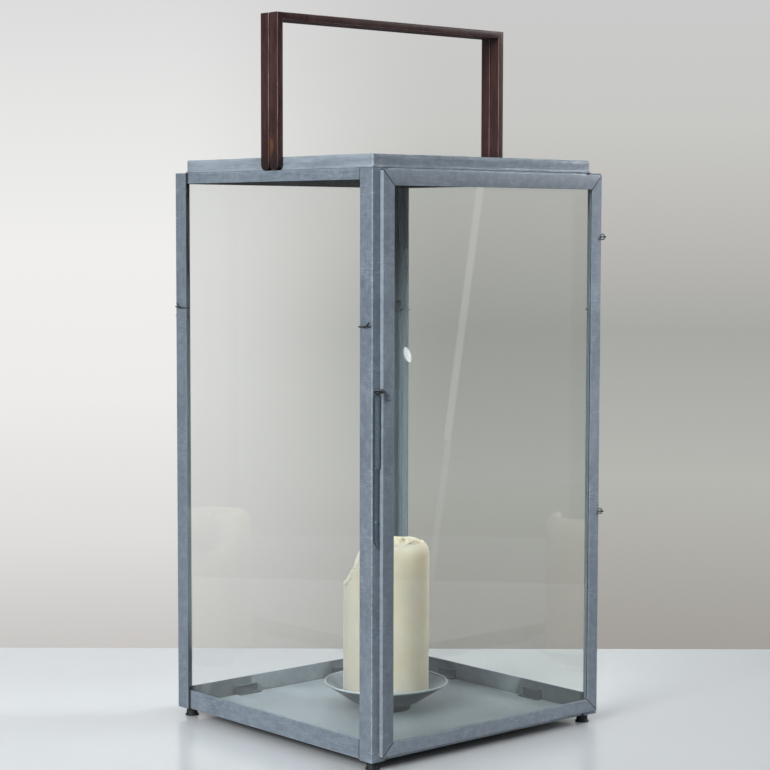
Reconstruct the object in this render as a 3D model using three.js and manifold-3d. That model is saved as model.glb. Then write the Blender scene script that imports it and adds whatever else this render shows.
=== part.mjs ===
// Square glazed candle lantern in grey sheet metal, with one hinged door and a rigid double-bar handle.
// Millimetres, +Z up. The door faces -Y, and the origin is the middle of the footprint, on the table.
import * as THREE from 'three';
import { mergeVertices } from 'three/addons/utils/BufferGeometryUtils.js';
import Module from 'manifold-3d';

const wasm = await Module();
wasm.setup();

// ---------------------------------------------------------------- driving sizes
const plan = 280;                 // outside of the corner posts, both ways
const postHeight = 504;
const postFlange = 16;
const postSheet = 1.5;
const postInnerFold = 0.7;        // radius inside the fold of a post

const footHeight = 8;
const footLipRadius = 6.4;
const footBodyRadius = 5.3;
const footLipHeight = 1.4;
const footLipEdge = 0.8;          // straight part of the lip
const footStemRadius = 2.2;
const footBarbRadius = 3.4;
const footBarbHeight = 1.6;
const footInset = 9.5;            // outside of a post to the middle of its foot

const railSheet = 1.2;
const railLedge = 16;             // width of the turned-in edge of a rail
const bottomRailHeight = 18;
const sillHeight = 14;            // the front bottom rail is lower, so the door hides it
const topRailHeight = 9.8;
const railEndGap = 1;             // rail end to the inside of a post
const floorSheet = 0.8;

const lidInset = 7.6;             // outside of a post to the skirt of the lid
const lidHeight = 12;
const lidSheet = 1.2;
const lidCornerRadius = 3;
const lidEdgeRadius = 1.2;

const handleTop = 126;            // top of the lid to the top of the handle
const handleBarWidth = 11.8;
const handleBarThickness = 6.4;
const handleBarGap = 0.5;
const handleBevel = 0.7;
const handleEndRadius = 4;
const screwHeadRadius = 3.6;
const screwHeadHeight = 1.6;
const screwShankRadius = 1.8;
const screwGrip = 4;              // thread length inside a handle bar

const paneThickness = 2;
const paneTopGap = 2;
const clipSpacing = 120;
const clipWidth = 25;
const clipHeight = 9;
const clipFoot = 6;
const clipSheet = 1;
const clipLip = 2;                // how far the top of a clip is bent in over the floor

const glazingPinRadius = 0.9;
const glazingPinInset = 8.3;      // outside of a post to the middle of a pin
const glazingPinHeight = 375;     // bottom of the posts to the middle of a pair of pins
const glazingPinStagger = 8.4;    // how far one pin of a pair sits above the other
const glazingEyeRadius = 2.2;
const glazingEyeWire = 0.8;
const glazingLegRadius = 0.75;
const glazingLegLength = 7.6;
const glazingLegRise = 0.8;

const doorLeftMargin = 8.3;       // outside of a post to the latch edge of the door
const doorRightMargin = 4.4;      // the same at the hinge edge
const doorBottomMargin = 2.6;
const doorTopMargin = 1.6;
const doorDepth = 4.3;
const doorStileWidth = 12.6;
const doorRailWidth = 13.2;
const doorSheet = 1;
const doorPaneThickness = 1.9;
const doorPaneEdgeGap = 0.6;

const hingeWire = 0.6;            // radius of the hinge wire
const hingeEyeRadius = 1.5;         // middle of the wire in a hinge eye
const hingeAxisInset = 3.1;       // outside of a post to the hinge axis
const hingeUpperDrop = 58;        // top of the posts to the upper hinge, down
const hingeLowerHeight = 192;     // bottom of the posts to the lower hinge
const hingeStapleHalfHeight = 2.2;
const hingeClinch = 3;

const latchHeight = 316.7;        // bottom of the posts to the latch eye
const latchWire = 0.8;
const latchEyeRadius = 4.2;
const latchEyeInset = 3.2;        // outside of a post to the middle of the latch eye
const latchClinch = 5;
const hookEyeRadius = 2;
const hookPivotInset = 14;        // outside of a post to the hook pivot
const hookDrop = 5.4;             // latch eye to the hook pivot, down
const hookReach = 13.2;           // hook pivot to the tip of the hook, sideways
const hookElbow = 5.8;             // hook pivot to the bend of the hook, sideways
const hookStandOff = 0.6;         // face of the door to the wire of the hook
const hookPinRadius = 0.9;
const hookPinHeadRadius = 2;
const hookPinHeadHeight = 0.8;

const springSheet = 0.8;
const springUpperInset = 0.4;     // outside of a post to the upper half of the spring
const springUpperWidth = 7.5;
const springLowerWidth = 5.2;
const springLowerInset = 1.6;
const springTopDrop = 3.2;        // latch eye to the top of the spring, down
const springUpperLength = 62.5;   // top of the spring to where it steps outwards
const springLowerLength = 67.6;   // from that step to the low end
const springStep = 1.6;
const springPoint = 6;            // height of the slanted low end
const springRivetRise = 22.6;     // low end of the spring to the middle of its rivet
const springRivetRadius = 0.9;
const springRivetHead = 1.7;

const dishFootRadius = 23;
const dishFootHeight = 7;
const dishFootHollow = 2;
const dishFootWall = 4;
const dishBaseRadius = 30;
const dishRimRadius = 57.7;
const dishHeight = 19.2;
const dishSheet = 1.3;
const dishRimThickness = 1.9;

const candleRadius = 40;
const candleHeight = 144.5;
const candleSeatWear = 2;         // how far the foot of the candle is worn back by the dish
const candleShoulderWidth = 6.5;  // rounding of the top edge, inwards and down
const candleShoulderHeight = 13;
const candleShoulderSteps = 4;
const candlePoolRadius = 33;
const candlePoolFloorRadius = 26;
const candlePoolLip = 1.2;        // top of the rim to the edge of the pool
const candlePoolDepth = 7;
const candleSlumpTop = 24.5;      // middle of the candle to the start of the slumped side
const candleSlumpSlope = 68;      // degrees below level
const candleSlumpDirection = 138.5;  // degrees from +X towards +Y
const wickRadius = 0.8;
const wickHeight = 9;
const wickDepth = 6;

const clearance = 0.3;            // kept between round or sprung pieces that don't touch
const slip = 0.2;                 // kept between flat pieces that slide in
const overshoot = 1;              // how far a cutting tool runs past the metal

// ---------------------------------------------------------------- places worked out from the sizes
const half = plan / 2;
const postFoot = footHeight;
const postTop = postFoot + postHeight;
const railFace = half - postSheet;             // outside of the rails, inside of the posts
const railBack = railFace - railSheet;
const floorTop = postFoot + railSheet + floorSheet;
const paneBack = railBack - paneThickness;     // side of a fixed pane that faces the candle
const footPlace = half - footInset;

const lidHalf = half - lidInset;
const lidTop = postTop + lidHeight;
const handleZ = lidTop + handleTop;
const handleOuter = lidHalf + handleBarThickness;
const handlePlaces = { front: -(handleBarWidth + handleBarGap) / 2, rear: (handleBarWidth + handleBarGap) / 2 };
const screwZ = postTop + lidHeight / 2;

const doorLeft = -half + doorLeftMargin;
const doorRight = half - doorRightMargin;
const doorBottom = postFoot + doorBottomMargin;
const doorTop = postTop - doorTopMargin;
const doorBack = -half - clearance;
const doorFront = doorBack - doorDepth;
const doorMiddle = (doorFront + doorBack) / 2;

const hingeX = half - hingeAxisInset;
const hingeY = doorFront - slip - hingeEyeRadius - hingeWire;
const hingeHeights = { upper: postTop - hingeUpperDrop, lower: postFoot + hingeLowerHeight };

const latchX = -half + latchEyeInset;
const latchY = -half - clearance - latchWire - latchEyeRadius;
const latchZ = postFoot + latchHeight;
const hookX = -half + hookPivotInset;
const hookY = doorFront - hookStandOff - latchWire;
const hookZ = latchZ - hookDrop;
const springTop = latchZ - springTopDrop;
const springCrank = springTop - springUpperLength;
const springBottom = springCrank - springLowerLength;

const tau = Math.PI * 2;
const quarter = Math.PI / 2;
const degree = Math.PI / 180;

// ---------------------------------------------------------------- finishes
const finishes = {
  zinc: { color: 0x7e8a94, roughness: 0.55, metalness: 0.7 },
  floor: { color: 0x99a3a8, roughness: 0.6, metalness: 0.6 },
  wire: { color: 0x2c2f33, roughness: 0.45, metalness: 0.8 },
  spring: { color: 0x505d67, roughness: 0.5, metalness: 0.75 },
  bronze: { color: 0x463434, roughness: 0.3, metalness: 0.5 },
  rubber: { color: 0x15161a, roughness: 0.85, metalness: 0 },
  glass: { color: 0xc9d3cc, roughness: 0.05, metalness: 0, transparent: true, opacity: 0.25 },
  pewter: { color: 0x6d7474, roughness: 0.4, metalness: 0.8 },
  wax: { color: 0xe0dcc4, roughness: 0.55, metalness: 0 },
  cotton: { color: 0x1d1815, roughness: 0.95, metalness: 0 },
};

const lantern = new THREE.Group();
const assembly = new THREE.Group();
lantern.add(assembly);

// Adds one named piece to a group, with a material of its own.
function addPiece(group, name, solid, finish) {
  const mesh = new THREE.Mesh(geometryOf(solid), new THREE.MeshStandardMaterial(finishes[finish]));
  mesh.name = name;
  group.add(mesh);
  return mesh;
}

// A group turned about the vertical axis, for one side or one corner of the lantern.
function turned(degrees) {
  const group = new THREE.Group();
  group.rotation.z = degrees * degree;
  assembly.add(group);
  return group;
}

// ---------------------------------------------------------------- solids
function solidOf(geometry) {
  const bare = geometry.clone();
  bare.deleteAttribute('normal');
  bare.deleteAttribute('uv');
  const merged = mergeVertices(bare, 1e-4);
  return new wasm.Manifold(new wasm.Mesh({
    numProp: 3,
    vertProperties: Float32Array.from(merged.attributes.position.array),
    triVerts: Uint32Array.from(merged.index.array),
  }));
}

function geometryOf(solid) {
  const mesh = solid.getMesh();
  const geometry = new THREE.BufferGeometry();
  geometry.setAttribute('position', new THREE.BufferAttribute(mesh.vertProperties, 3));
  geometry.setIndex(new THREE.BufferAttribute(mesh.triVerts, 1));
  geometry.computeVertexNormals();
  return geometry;
}

function block([x0, x1], [y0, y1], [z0, z1]) {
  const box = new THREE.BoxGeometry(x1 - x0, y1 - y0, z1 - z0);
  box.translate((x0 + x1) / 2, (y0 + y1) / 2, (z0 + z1) / 2);
  return solidOf(box);
}

// A round bar from one point to another.
function rod(from, to, radius, sides = 12) {
  const start = new THREE.Vector3(...from);
  const way = new THREE.Vector3(...to).sub(start);
  const bar = new THREE.CylinderGeometry(radius, radius, way.length(), sides);
  bar.translate(0, way.length() / 2, 0);
  const turn = new THREE.Quaternion().setFromUnitVectors(new THREE.Vector3(0, 1, 0), way.clone().normalize());
  bar.applyQuaternion(turn);
  bar.translate(start.x, start.y, start.z);
  return solidOf(bar);
}

function ball(centre, radius, sides = 12) {
  const sphere = new THREE.SphereGeometry(radius, sides, sides / 2);
  sphere.translate(...centre);
  return solidOf(sphere);
}

// A bent wire: straight lengths, with a ball in each bend.
function wire(points, radius) {
  let whole = rod(points[0], points[1], radius);
  for (let i = 1; i < points.length - 1; i += 1) {
    whole = whole.add(ball(points[i], radius)).add(rod(points[i], points[i + 1], radius));
  }
  return whole;
}

// A wire eye round an axis: 'z' lies flat and 'y' stands in the plane of the door.
function eye(centre, radius, wireRadius, axis) {
  const ring = new THREE.TorusGeometry(radius, wireRadius, 10, 28);
  if (axis === 'y') {
    ring.rotateX(quarter);
  }
  ring.translate(...centre);
  return solidOf(ring);
}

function turnedSolid(profile, sides) {
  return solidOf(new THREE.LatheGeometry(profile.map(([r, z]) => new THREE.Vector2(r, z)), sides))
    .rotate([90, 0, 0]);
}

// ---------------------------------------------------------------- corner posts
function postSection() {
  const outerFold = postInnerFold + postSheet;
  const tip = postFlange;
  const shape = new THREE.Shape();
  shape.moveTo(tip, 0);
  shape.lineTo(outerFold, 0);
  shape.absarc(outerFold, outerFold, outerFold, -quarter, -Math.PI, true);
  shape.lineTo(0, tip);
  shape.lineTo(postSheet, tip);
  shape.lineTo(postSheet, outerFold);
  shape.absarc(outerFold, outerFold, postInnerFold, Math.PI, quarter * 3, false);
  shape.lineTo(tip, postSheet);
  shape.closePath();
  return shape;
}

// The post of a corner at (-half, -half), before its holes.
function plainPost() {
  const post = new THREE.ExtrudeGeometry(postSection(), {
    depth: postHeight, bevelEnabled: false, curveSegments: 5,
  });
  post.translate(-half, -half, postFoot);
  return solidOf(post);
}

const flangeDrill = [-half - postSheet, -half + postSheet * 2];

function holeThroughFrontFlange(x, z, radius) {
  return rod([x, flangeDrill[0], z], [x, flangeDrill[1], z], radius + clearance);
}

function holeThroughSideFlange(y, z, radius) {
  return rod([flangeDrill[0], y, z], [flangeDrill[1], y, z], radius + clearance);
}

const pinPlace = half - glazingPinInset;
const pinHeights = {
  low: postFoot + glazingPinHeight - glazingPinStagger / 2,
  high: postFoot + glazingPinHeight + glazingPinStagger / 2,
};
const springRivetX = -half + springLowerInset + springLowerWidth / 2;
const springRivetZ = springBottom + springRivetRise;

function glazingHoleFront() {
  return holeThroughFrontFlange(-pinPlace, pinHeights.high, glazingPinRadius);
}

function glazingHoleSide() {
  return holeThroughSideFlange(-pinPlace, pinHeights.low, glazingPinRadius);
}

function latchHoles() {
  return holeThroughFrontFlange(latchX, latchZ, latchWire)
    .add(holeThroughFrontFlange(springRivetX, springRivetZ, springRivetRadius));
}

// The right post is turned a quarter, so its side flange carries the hinges.
function hingeHoles() {
  const y = -half + hingeAxisInset;
  let holes = null;
  for (const height of Object.values(hingeHeights)) {
    for (const step of [-hingeStapleHalfHeight, hingeStapleHalfHeight]) {
      const hole = holeThroughSideFlange(y, height + step, hingeWire);
      holes = holes ? holes.add(hole) : hole;
    }
  }
  return holes;
}

const postCorners = [
  { name: 'post_latch_side', degrees: 0, holes: [latchHoles, glazingHoleSide] },
  { name: 'post_hinge_side', degrees: 90, holes: [glazingHoleFront, hingeHoles] },
  { name: 'post_rear_right', degrees: 180, holes: [glazingHoleFront, glazingHoleSide] },
  { name: 'post_rear_left', degrees: -90, holes: [glazingHoleFront, glazingHoleSide] },
];

for (const { name, degrees, holes } of postCorners) {
  let post = plainPost();
  for (const hole of holes) {
    post = post.subtract(hole());
  }
  addPiece(turned(degrees), name, post, 'zinc');
}

// ---------------------------------------------------------------- rails, floor and feet
// Cuts both ends of a rail at 45 degrees, so that four meet in a square.
function mitreEnds(rail) {
  const diagonal = Math.SQRT1_2;
  return rail
    .trimByPlane([diagonal, -diagonal, 0], slip * diagonal)
    .trimByPlane([-diagonal, -diagonal, 0], slip * diagonal);
}

const railLength = [-railFace + railEndGap, railFace - railEndGap];

function footHole(x, y) {
  return rod([x, y, 0], [x, y, floorTop + footHeight], footStemRadius + clearance);
}

function bottomRail(height) {
  const upright = block(railLength, [-railFace, -railBack], [postFoot, postFoot + height]);
  const ledge = block(railLength, [-railFace, -railFace + railLedge], [postFoot, postFoot + railSheet]);
  return mitreEnds(upright.add(ledge))
    .subtract(footHole(-footPlace, -footPlace))
    .subtract(footHole(footPlace, -footPlace));
}

function topRail() {
  const upright = block(railLength, [-railFace, -railBack], [postTop - topRailHeight, postTop]);
  const ledge = block(railLength, [-railFace, -railFace + railLedge], [postTop - railSheet, postTop]);
  return mitreEnds(upright.add(ledge));
}

function floorPlate() {
  const edge = railBack - clearance;
  let plate = block([-edge, edge], [-edge, edge], [postFoot + railSheet, floorTop]);
  for (const x of [-footPlace, footPlace]) {
    for (const y of [-footPlace, footPlace]) {
      plate = plate.subtract(footHole(x, y));
    }
  }
  return plate;
}

// A push-in foot: flared lip, body, stem through the rail and floor, and the barb that holds it.
function foot() {
  const barb = floorTop + slip;
  return turnedSolid([
    [0, 0],
    [footLipRadius, 0],
    [footLipRadius, footLipEdge],
    [footBodyRadius, footLipHeight],
    [footBodyRadius, footHeight],
    [footStemRadius, footHeight],
    [footStemRadius, barb],
    [footBarbRadius, barb],
    [footStemRadius, barb + footBarbHeight],
    [0, barb + footBarbHeight],
  ], 24);
}

addPiece(assembly, 'floor_plate', floorPlate(), 'floor');

const feet = { front_left: [-1, -1], front_right: [1, -1], rear_left: [-1, 1], rear_right: [1, 1] };
for (const [corner, [x, y]] of Object.entries(feet)) {
  addPiece(assembly, `foot_${corner}`, foot(), 'rubber').position.set(x * footPlace, y * footPlace, 0);
}

// ---------------------------------------------------------------- fixed sides
function fixedPane() {
  const edge = pinPlace - glazingPinRadius - clearance;
  return block([-edge, edge], [-railBack, -paneBack], [floorTop, postTop - railSheet - paneTopGap]);
}

// A bent tab that stands on the floor and keeps the foot of a pane against its rail.
function paneClip(x) {
  const face = -paneBack + slip;
  const back = face + clipSheet;
  const top = floorTop + clipHeight;
  const span = [x - clipWidth / 2, x + clipWidth / 2];
  return block(span, [face, back], [floorTop, top])
    .add(block(span, [face, back + clipFoot], [floorTop, floorTop + clipSheet]))
    .add(block(span, [face, back + clipLip], [top - clipSheet, top]));
}

// A split pin through a post flange: its eye laps the edge of the pane, its legs spread outside.
function glazingPin(side) {
  const x = side * pinPlace;
  const z = side < 0 ? pinHeights.high : pinHeights.low;
  const eyeY = -paneBack + clearance + glazingEyeWire + glazingEyeRadius;
  const legY = -half - clearance - glazingLegRadius;
  const paneTip = [x - side * glazingLegLength, legY, z];
  const cornerTip = [x + side * glazingLegLength, legY, z + glazingLegRise];
  return eye([x, eyeY, z], glazingEyeRadius, glazingEyeWire, 'z')
    .add(rod([x, legY, z], [x, eyeY - glazingEyeRadius, z], glazingPinRadius))
    .add(rod([x, legY, z], paneTip, glazingLegRadius))
    .add(rod([x, legY, z], cornerTip, glazingLegRadius));
}

const sides = [
  { name: 'front', degrees: 0, glazed: false },
  { name: 'right', degrees: 90, glazed: true },
  { name: 'rear', degrees: 180, glazed: true },
  { name: 'left', degrees: -90, glazed: true },
];

for (const { name, degrees, glazed } of sides) {
  const side = turned(degrees);
  addPiece(side, `bottom_rail_${name}`, bottomRail(glazed ? bottomRailHeight : sillHeight), 'zinc');
  addPiece(side, `top_rail_${name}`, topRail(), 'zinc');
  if (!glazed) {
    continue;
  }
  addPiece(side, `glass_pane_${name}`, fixedPane(), 'glass');
  addPiece(side, `pane_clip_${name}_a`, paneClip(-clipSpacing / 2), 'spring');
  addPiece(side, `pane_clip_${name}_b`, paneClip(clipSpacing / 2), 'spring');
  addPiece(side, `glazing_pin_${name}_a`, glazingPin(-1), 'wire');
  addPiece(side, `glazing_pin_${name}_b`, glazingPin(1), 'wire');
}

// ---------------------------------------------------------------- lid
function roundedSquare(reach, radius) {
  const shape = new THREE.Shape();
  const flat = reach - radius;
  shape.absarc(flat, flat, radius, 0, quarter, false);
  shape.absarc(-flat, flat, radius, quarter, Math.PI, false);
  shape.absarc(-flat, -flat, radius, Math.PI, quarter * 3, false);
  shape.absarc(flat, -flat, radius, quarter * 3, tau, false);
  shape.closePath();
  return shape;
}

function lidShell() {
  const body = new THREE.ExtrudeGeometry(roundedSquare(lidHalf - lidEdgeRadius, lidCornerRadius - lidEdgeRadius), {
    depth: lidHeight, bevelEnabled: true, bevelSize: lidEdgeRadius, bevelThickness: lidEdgeRadius,
    bevelSegments: 3, curveSegments: 4,
  });
  body.translate(0, 0, postTop - lidEdgeRadius);
  const inside = new THREE.ExtrudeGeometry(roundedSquare(lidHalf - lidSheet, lidCornerRadius - lidSheet), {
    depth: lidHeight * 2, bevelEnabled: false, curveSegments: 4,
  });
  inside.translate(0, 0, lidTop - lidSheet - lidHeight * 2);
  let shell = solidOf(body).trimByPlane([0, 0, 1], postTop).subtract(solidOf(inside));
  for (const side of [-1, 1]) {
    for (const y of Object.values(handlePlaces)) {
      shell = shell.subtract(rod([side * (lidHalf - lidSheet * 2), y, screwZ],
        [side * (lidHalf + lidSheet), y, screwZ], screwShankRadius + clearance));
    }
  }
  return shell;
}

addPiece(assembly, 'lid', lidShell(), 'zinc');

// ---------------------------------------------------------------- handle
// One flat bar bent square: two legs outside the skirt of the lid and a bar across the top.
function handleBar(y) {
  const reach = handleOuter - handleBevel;
  const inner = lidHalf + handleBevel;
  const low = postTop + clearance;
  const shape = new THREE.Shape();
  shape.moveTo(-reach, low);
  shape.lineTo(-inner, low);
  shape.lineTo(-inner, handleZ - handleBarThickness + handleBevel);
  shape.lineTo(inner, handleZ - handleBarThickness + handleBevel);
  shape.lineTo(inner, low);
  shape.lineTo(reach, low);
  shape.lineTo(reach, handleZ - handleBevel);
  shape.lineTo(-reach, handleZ - handleBevel);
  shape.closePath();
  const bent = new THREE.ExtrudeGeometry(shape, {
    depth: handleBarWidth - handleBevel * 2, bevelEnabled: true, bevelSize: handleBevel,
    bevelThickness: handleBevel, bevelSegments: 2,
  });
  bent.rotateX(quarter);
  bent.translate(0, handleBarWidth / 2 - handleBevel, 0);
  let bar = solidOf(bent).intersect(handleEndShape(low)).translate([0, y, 0]);
  for (const side of [-1, 1]) {
    const mouth = side * (lidHalf - lidSheet);
    const end = side * (lidHalf + screwGrip + clearance);
    bar = bar.subtract(rod([mouth, y, screwZ], [end, y, screwZ], screwShankRadius + clearance));
  }
  return bar;
}

// The outline that rounds the low ends of a bar, seen along X.
function handleEndShape(low) {
  const side = handleBarWidth / 2;
  const shape = new THREE.Shape();
  shape.moveTo(-side, handleZ);
  shape.lineTo(-side, low + handleEndRadius);
  shape.absarc(-side + handleEndRadius, low + handleEndRadius, handleEndRadius, Math.PI, quarter * 3, false);
  shape.absarc(side - handleEndRadius, low + handleEndRadius, handleEndRadius, -quarter, 0, false);
  shape.lineTo(side, handleZ);
  shape.closePath();
  const outline = new THREE.ExtrudeGeometry(shape, { depth: plan, bevelEnabled: false, curveSegments: 5 });
  outline.rotateX(quarter);
  outline.rotateZ(quarter);
  outline.translate(-half, 0, 0);
  return solidOf(outline);
}

// A screw from inside the lid into a leg of the handle; side is -1 or 1.
function handleScrew(side, y) {
  const seat = lidHalf - lidSheet;
  const head = rod([side * seat, y, screwZ], [side * (seat - screwHeadHeight), y, screwZ], screwHeadRadius, 20);
  return head.add(rod([side * seat, y, screwZ], [side * (lidHalf + screwGrip), y, screwZ], screwShankRadius));
}

for (const [place, y] of Object.entries(handlePlaces)) {
  addPiece(assembly, `handle_bar_${place}`, handleBar(y), 'bronze');
  addPiece(assembly, `handle_screw_left_${place}`, handleScrew(-1, y), 'wire');
  addPiece(assembly, `handle_screw_right_${place}`, handleScrew(1, y), 'wire');
}

// ---------------------------------------------------------------- door
// Cuts a door member along the mitre of one corner; keep is 'stile' or 'rail'.
function mitre(member, side, end, keep) {
  const corner = [side < 0 ? doorLeft : doorRight, end < 0 ? doorBottom : doorTop];
  const length = Math.hypot(doorStileWidth, doorRailWidth);
  const sign = keep === 'stile' ? 1 : -1;
  const normal = [sign * side * doorRailWidth / length, 0, -sign * end * doorStileWidth / length];
  const offset = normal[0] * corner[0] + normal[2] * corner[1] + slip / 2;
  return member.trimByPlane(normal, offset);
}

const doorGroove = [doorFront + doorSheet, doorBack - doorSheet];

// A channel with its groove towards the glass.
function doorStile(side) {
  const edge = side < 0 ? doorLeft : doorRight;
  const span = (outer, inner) => [edge - side * outer, edge - side * inner].sort((a, b) => a - b);
  const height = [doorBottom, doorTop];
  const bar = block(span(0, doorStileWidth), [doorFront, doorBack], height);
  const groove = block(span(doorSheet, doorStileWidth * 2), doorGroove, height);
  let stile = bar.subtract(groove);
  for (const end of [-1, 1]) {
    stile = mitre(stile, side, end, 'stile');
  }
  return stile;
}

function doorRail(end) {
  const edge = end < 0 ? doorBottom : doorTop;
  const span = (outer, inner) => [edge - end * outer, edge - end * inner].sort((a, b) => a - b);
  const width = [doorLeft, doorRight];
  const bar = block(width, [doorFront, doorBack], span(0, doorRailWidth));
  const groove = block(width, doorGroove, span(doorSheet, doorRailWidth * 2));
  let rail = bar.subtract(groove);
  for (const side of [-1, 1]) {
    rail = mitre(rail, side, end, 'rail');
  }
  return rail;
}

function doorPane() {
  const inset = doorSheet + doorPaneEdgeGap;
  return block([doorLeft + inset, doorRight - inset],
    [doorMiddle - doorPaneThickness / 2, doorMiddle + doorPaneThickness / 2],
    [doorBottom + doorSheet, doorTop - inset]);
}

// The door's half of a hinge: an eye in front of the stile, with a short shank into its face.
const hingeShankStart = [hingeX - hingeEyeRadius * Math.SQRT1_2, hingeY + hingeEyeRadius * Math.SQRT1_2];
const hingeShankRun = doorFront + doorSheet - slip - hingeShankStart[1];
const hingeShankEnd = [hingeShankStart[0] - hingeShankRun, hingeShankStart[1] + hingeShankRun];

function hingeEye(height) {
  return eye([hingeX, hingeY, height], hingeEyeRadius, hingeWire, 'z')
    .add(rod([...hingeShankStart, height], [...hingeShankEnd, height], hingeWire)
      .trimByPlane([0, -1, 0], -(doorFront + doorSheet - slip)));
}

function hingeShankHole(height) {
  return rod([...hingeShankStart, height], [hingeShankEnd[0] - overshoot, hingeShankEnd[1] + overshoot, height],
    hingeWire + clearance);
}

// The post's half: a staple whose upright wire is the pivot, clinched inside the flange.
function hingeStaple(height) {
  const top = height + hingeStapleHalfHeight;
  const bottom = height - hingeStapleHalfHeight;
  const inside = -half + postSheet + clearance + hingeWire;
  return wire([
    [hingeX, inside, top + hingeClinch],
    [hingeX, inside, top],
    [hingeX, hingeY, top],
    [hingeX, hingeY, bottom],
    [hingeX, inside, bottom],
    [hingeX, inside, bottom - hingeClinch],
  ], hingeWire);
}

let hingeSideStile = doorStile(1);
for (const height of Object.values(hingeHeights)) {
  hingeSideStile = hingeSideStile.subtract(hingeShankHole(height));
}
const hookPinHole = rod([hookX, doorFront - overshoot, hookZ], [hookX, doorMiddle, hookZ], hookPinRadius + clearance);

addPiece(assembly, 'door_stile_latch_side', doorStile(-1).subtract(hookPinHole), 'zinc');
addPiece(assembly, 'door_stile_hinge_side', hingeSideStile, 'zinc');
addPiece(assembly, 'door_rail_top', doorRail(1), 'zinc');
addPiece(assembly, 'door_rail_bottom', doorRail(-1), 'zinc');
addPiece(assembly, 'door_glass', doorPane(), 'glass');
for (const [place, height] of Object.entries(hingeHeights)) {
  addPiece(assembly, `hinge_eye_${place}`, hingeEye(height), 'wire');
  addPiece(assembly, `hinge_staple_${place}`, hingeStaple(height), 'wire');
}

// ---------------------------------------------------------------- latch
// A split pin through the post, with its eye lying flat in front of the flange.
function latchEye() {
  const inside = -half + postSheet + clearance + latchWire;
  return eye([latchX, latchY, latchZ], latchEyeRadius, latchWire, 'z')
    .add(rod([latchX, latchY + latchEyeRadius, latchZ], [latchX, inside, latchZ], latchWire))
    .add(rod([latchX, inside, latchZ - latchClinch], [latchX, inside, latchZ + latchClinch], latchWire));
}

// The hook turns on a pin in the door stile, and its arm rests over the latch eye.
function latchHook() {
  const armZ = latchZ + latchWire * 2 + clearance;
  return eye([hookX, hookY, hookZ], hookEyeRadius, latchWire, 'y')
    .add(wire([
      [hookX - hookEyeRadius * Math.SQRT1_2, hookY, hookZ + hookEyeRadius * Math.SQRT1_2],
      [hookX - hookElbow, hookY, armZ],
      [hookX - hookReach, hookY, armZ],
    ], latchWire));
}

function hookPin() {
  const headBack = hookY - latchWire - clearance;
  const shankEnd = doorFront + doorSheet - slip;
  return rod([hookX, shankEnd, hookZ], [hookX, headBack, hookZ], hookPinRadius)
    .add(rod([hookX, headBack, hookZ], [hookX, headBack - hookPinHeadHeight, hookZ], hookPinHeadRadius, 16));
}

// A leaf spring on the post: riveted flat below, stepped out above to bear on the edge of the door.
function latchSpring() {
  const face = -half;
  const shape = new THREE.Shape();
  shape.moveTo(face, springBottom);
  shape.lineTo(face, springCrank);
  shape.lineTo(face - springStep, springCrank + springStep);
  shape.lineTo(face - springStep, springTop);
  shape.lineTo(face - springStep - springSheet, springTop);
  shape.lineTo(face - springStep - springSheet, springCrank + springStep);
  shape.lineTo(face - springSheet, springCrank);
  shape.lineTo(face - springSheet, springBottom);
  shape.closePath();
  const strip = new THREE.ExtrudeGeometry(shape, { depth: springUpperWidth, bevelEnabled: false });
  strip.rotateX(quarter);
  strip.rotateZ(quarter);
  strip.translate(-half + springUpperInset, 0, 0);
  const depth = [face - springSheet * 2, face + springSheet];
  const lowerLeft = -half + springLowerInset;
  const lowerRight = lowerLeft + springLowerWidth;
  const slope = Math.hypot(springPoint, springLowerWidth);
  const lowerHalf = [springBottom - overshoot, springCrank];
  return solidOf(strip)
    .subtract(block([-half - springSheet, lowerLeft], depth, lowerHalf))
    .subtract(block([lowerRight, lowerRight + springUpperWidth], depth, lowerHalf))
    .trimByPlane([springPoint / slope, 0, springLowerWidth / slope],
      (springPoint * lowerLeft + springLowerWidth * (springBottom + springPoint)) / slope)
    .subtract(rod([springRivetX, depth[0], springRivetZ], [springRivetX, depth[1], springRivetZ],
      springRivetRadius + clearance));
}

function springRivet() {
  const outside = -half - springSheet;
  const inside = -half + postSheet;
  const headHeight = springSheet;
  return rod([springRivetX, outside, springRivetZ], [springRivetX, inside, springRivetZ], springRivetRadius)
    .add(rod([springRivetX, outside - headHeight, springRivetZ], [springRivetX, outside, springRivetZ],
      springRivetHead, 16))
    .add(rod([springRivetX, inside, springRivetZ], [springRivetX, inside + headHeight, springRivetZ],
      springRivetHead, 16));
}

addPiece(assembly, 'latch_eye', latchEye(), 'wire');
addPiece(assembly, 'latch_hook', latchHook(), 'wire');
addPiece(assembly, 'latch_hook_pin', hookPin(), 'wire');
addPiece(assembly, 'latch_spring', latchSpring(), 'spring');
addPiece(assembly, 'latch_spring_rivet', springRivet(), 'spring');

// ---------------------------------------------------------------- candle and its dish
const roundSides = 64;
const dishBase = floorTop + dishFootHeight;
const dishSlope = Math.atan2(dishHeight, dishRimRadius - dishBaseRadius);
const dishInnerShift = dishSheet / Math.sin(dishSlope);

function dishFoot() {
  return turnedSolid([
    [0, floorTop + dishFootHollow],
    [dishFootRadius - dishFootWall, floorTop + dishFootHollow],
    [dishFootRadius - dishFootWall, floorTop],
    [dishFootRadius, floorTop],
    [dishFootRadius, dishBase],
    [0, dishBase],
  ], roundSides);
}

// Height of the inside of the dish above its base, at a radius.
function dishInside(radius) {
  return (radius - dishBaseRadius + dishInnerShift) * Math.tan(dishSlope);
}

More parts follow.
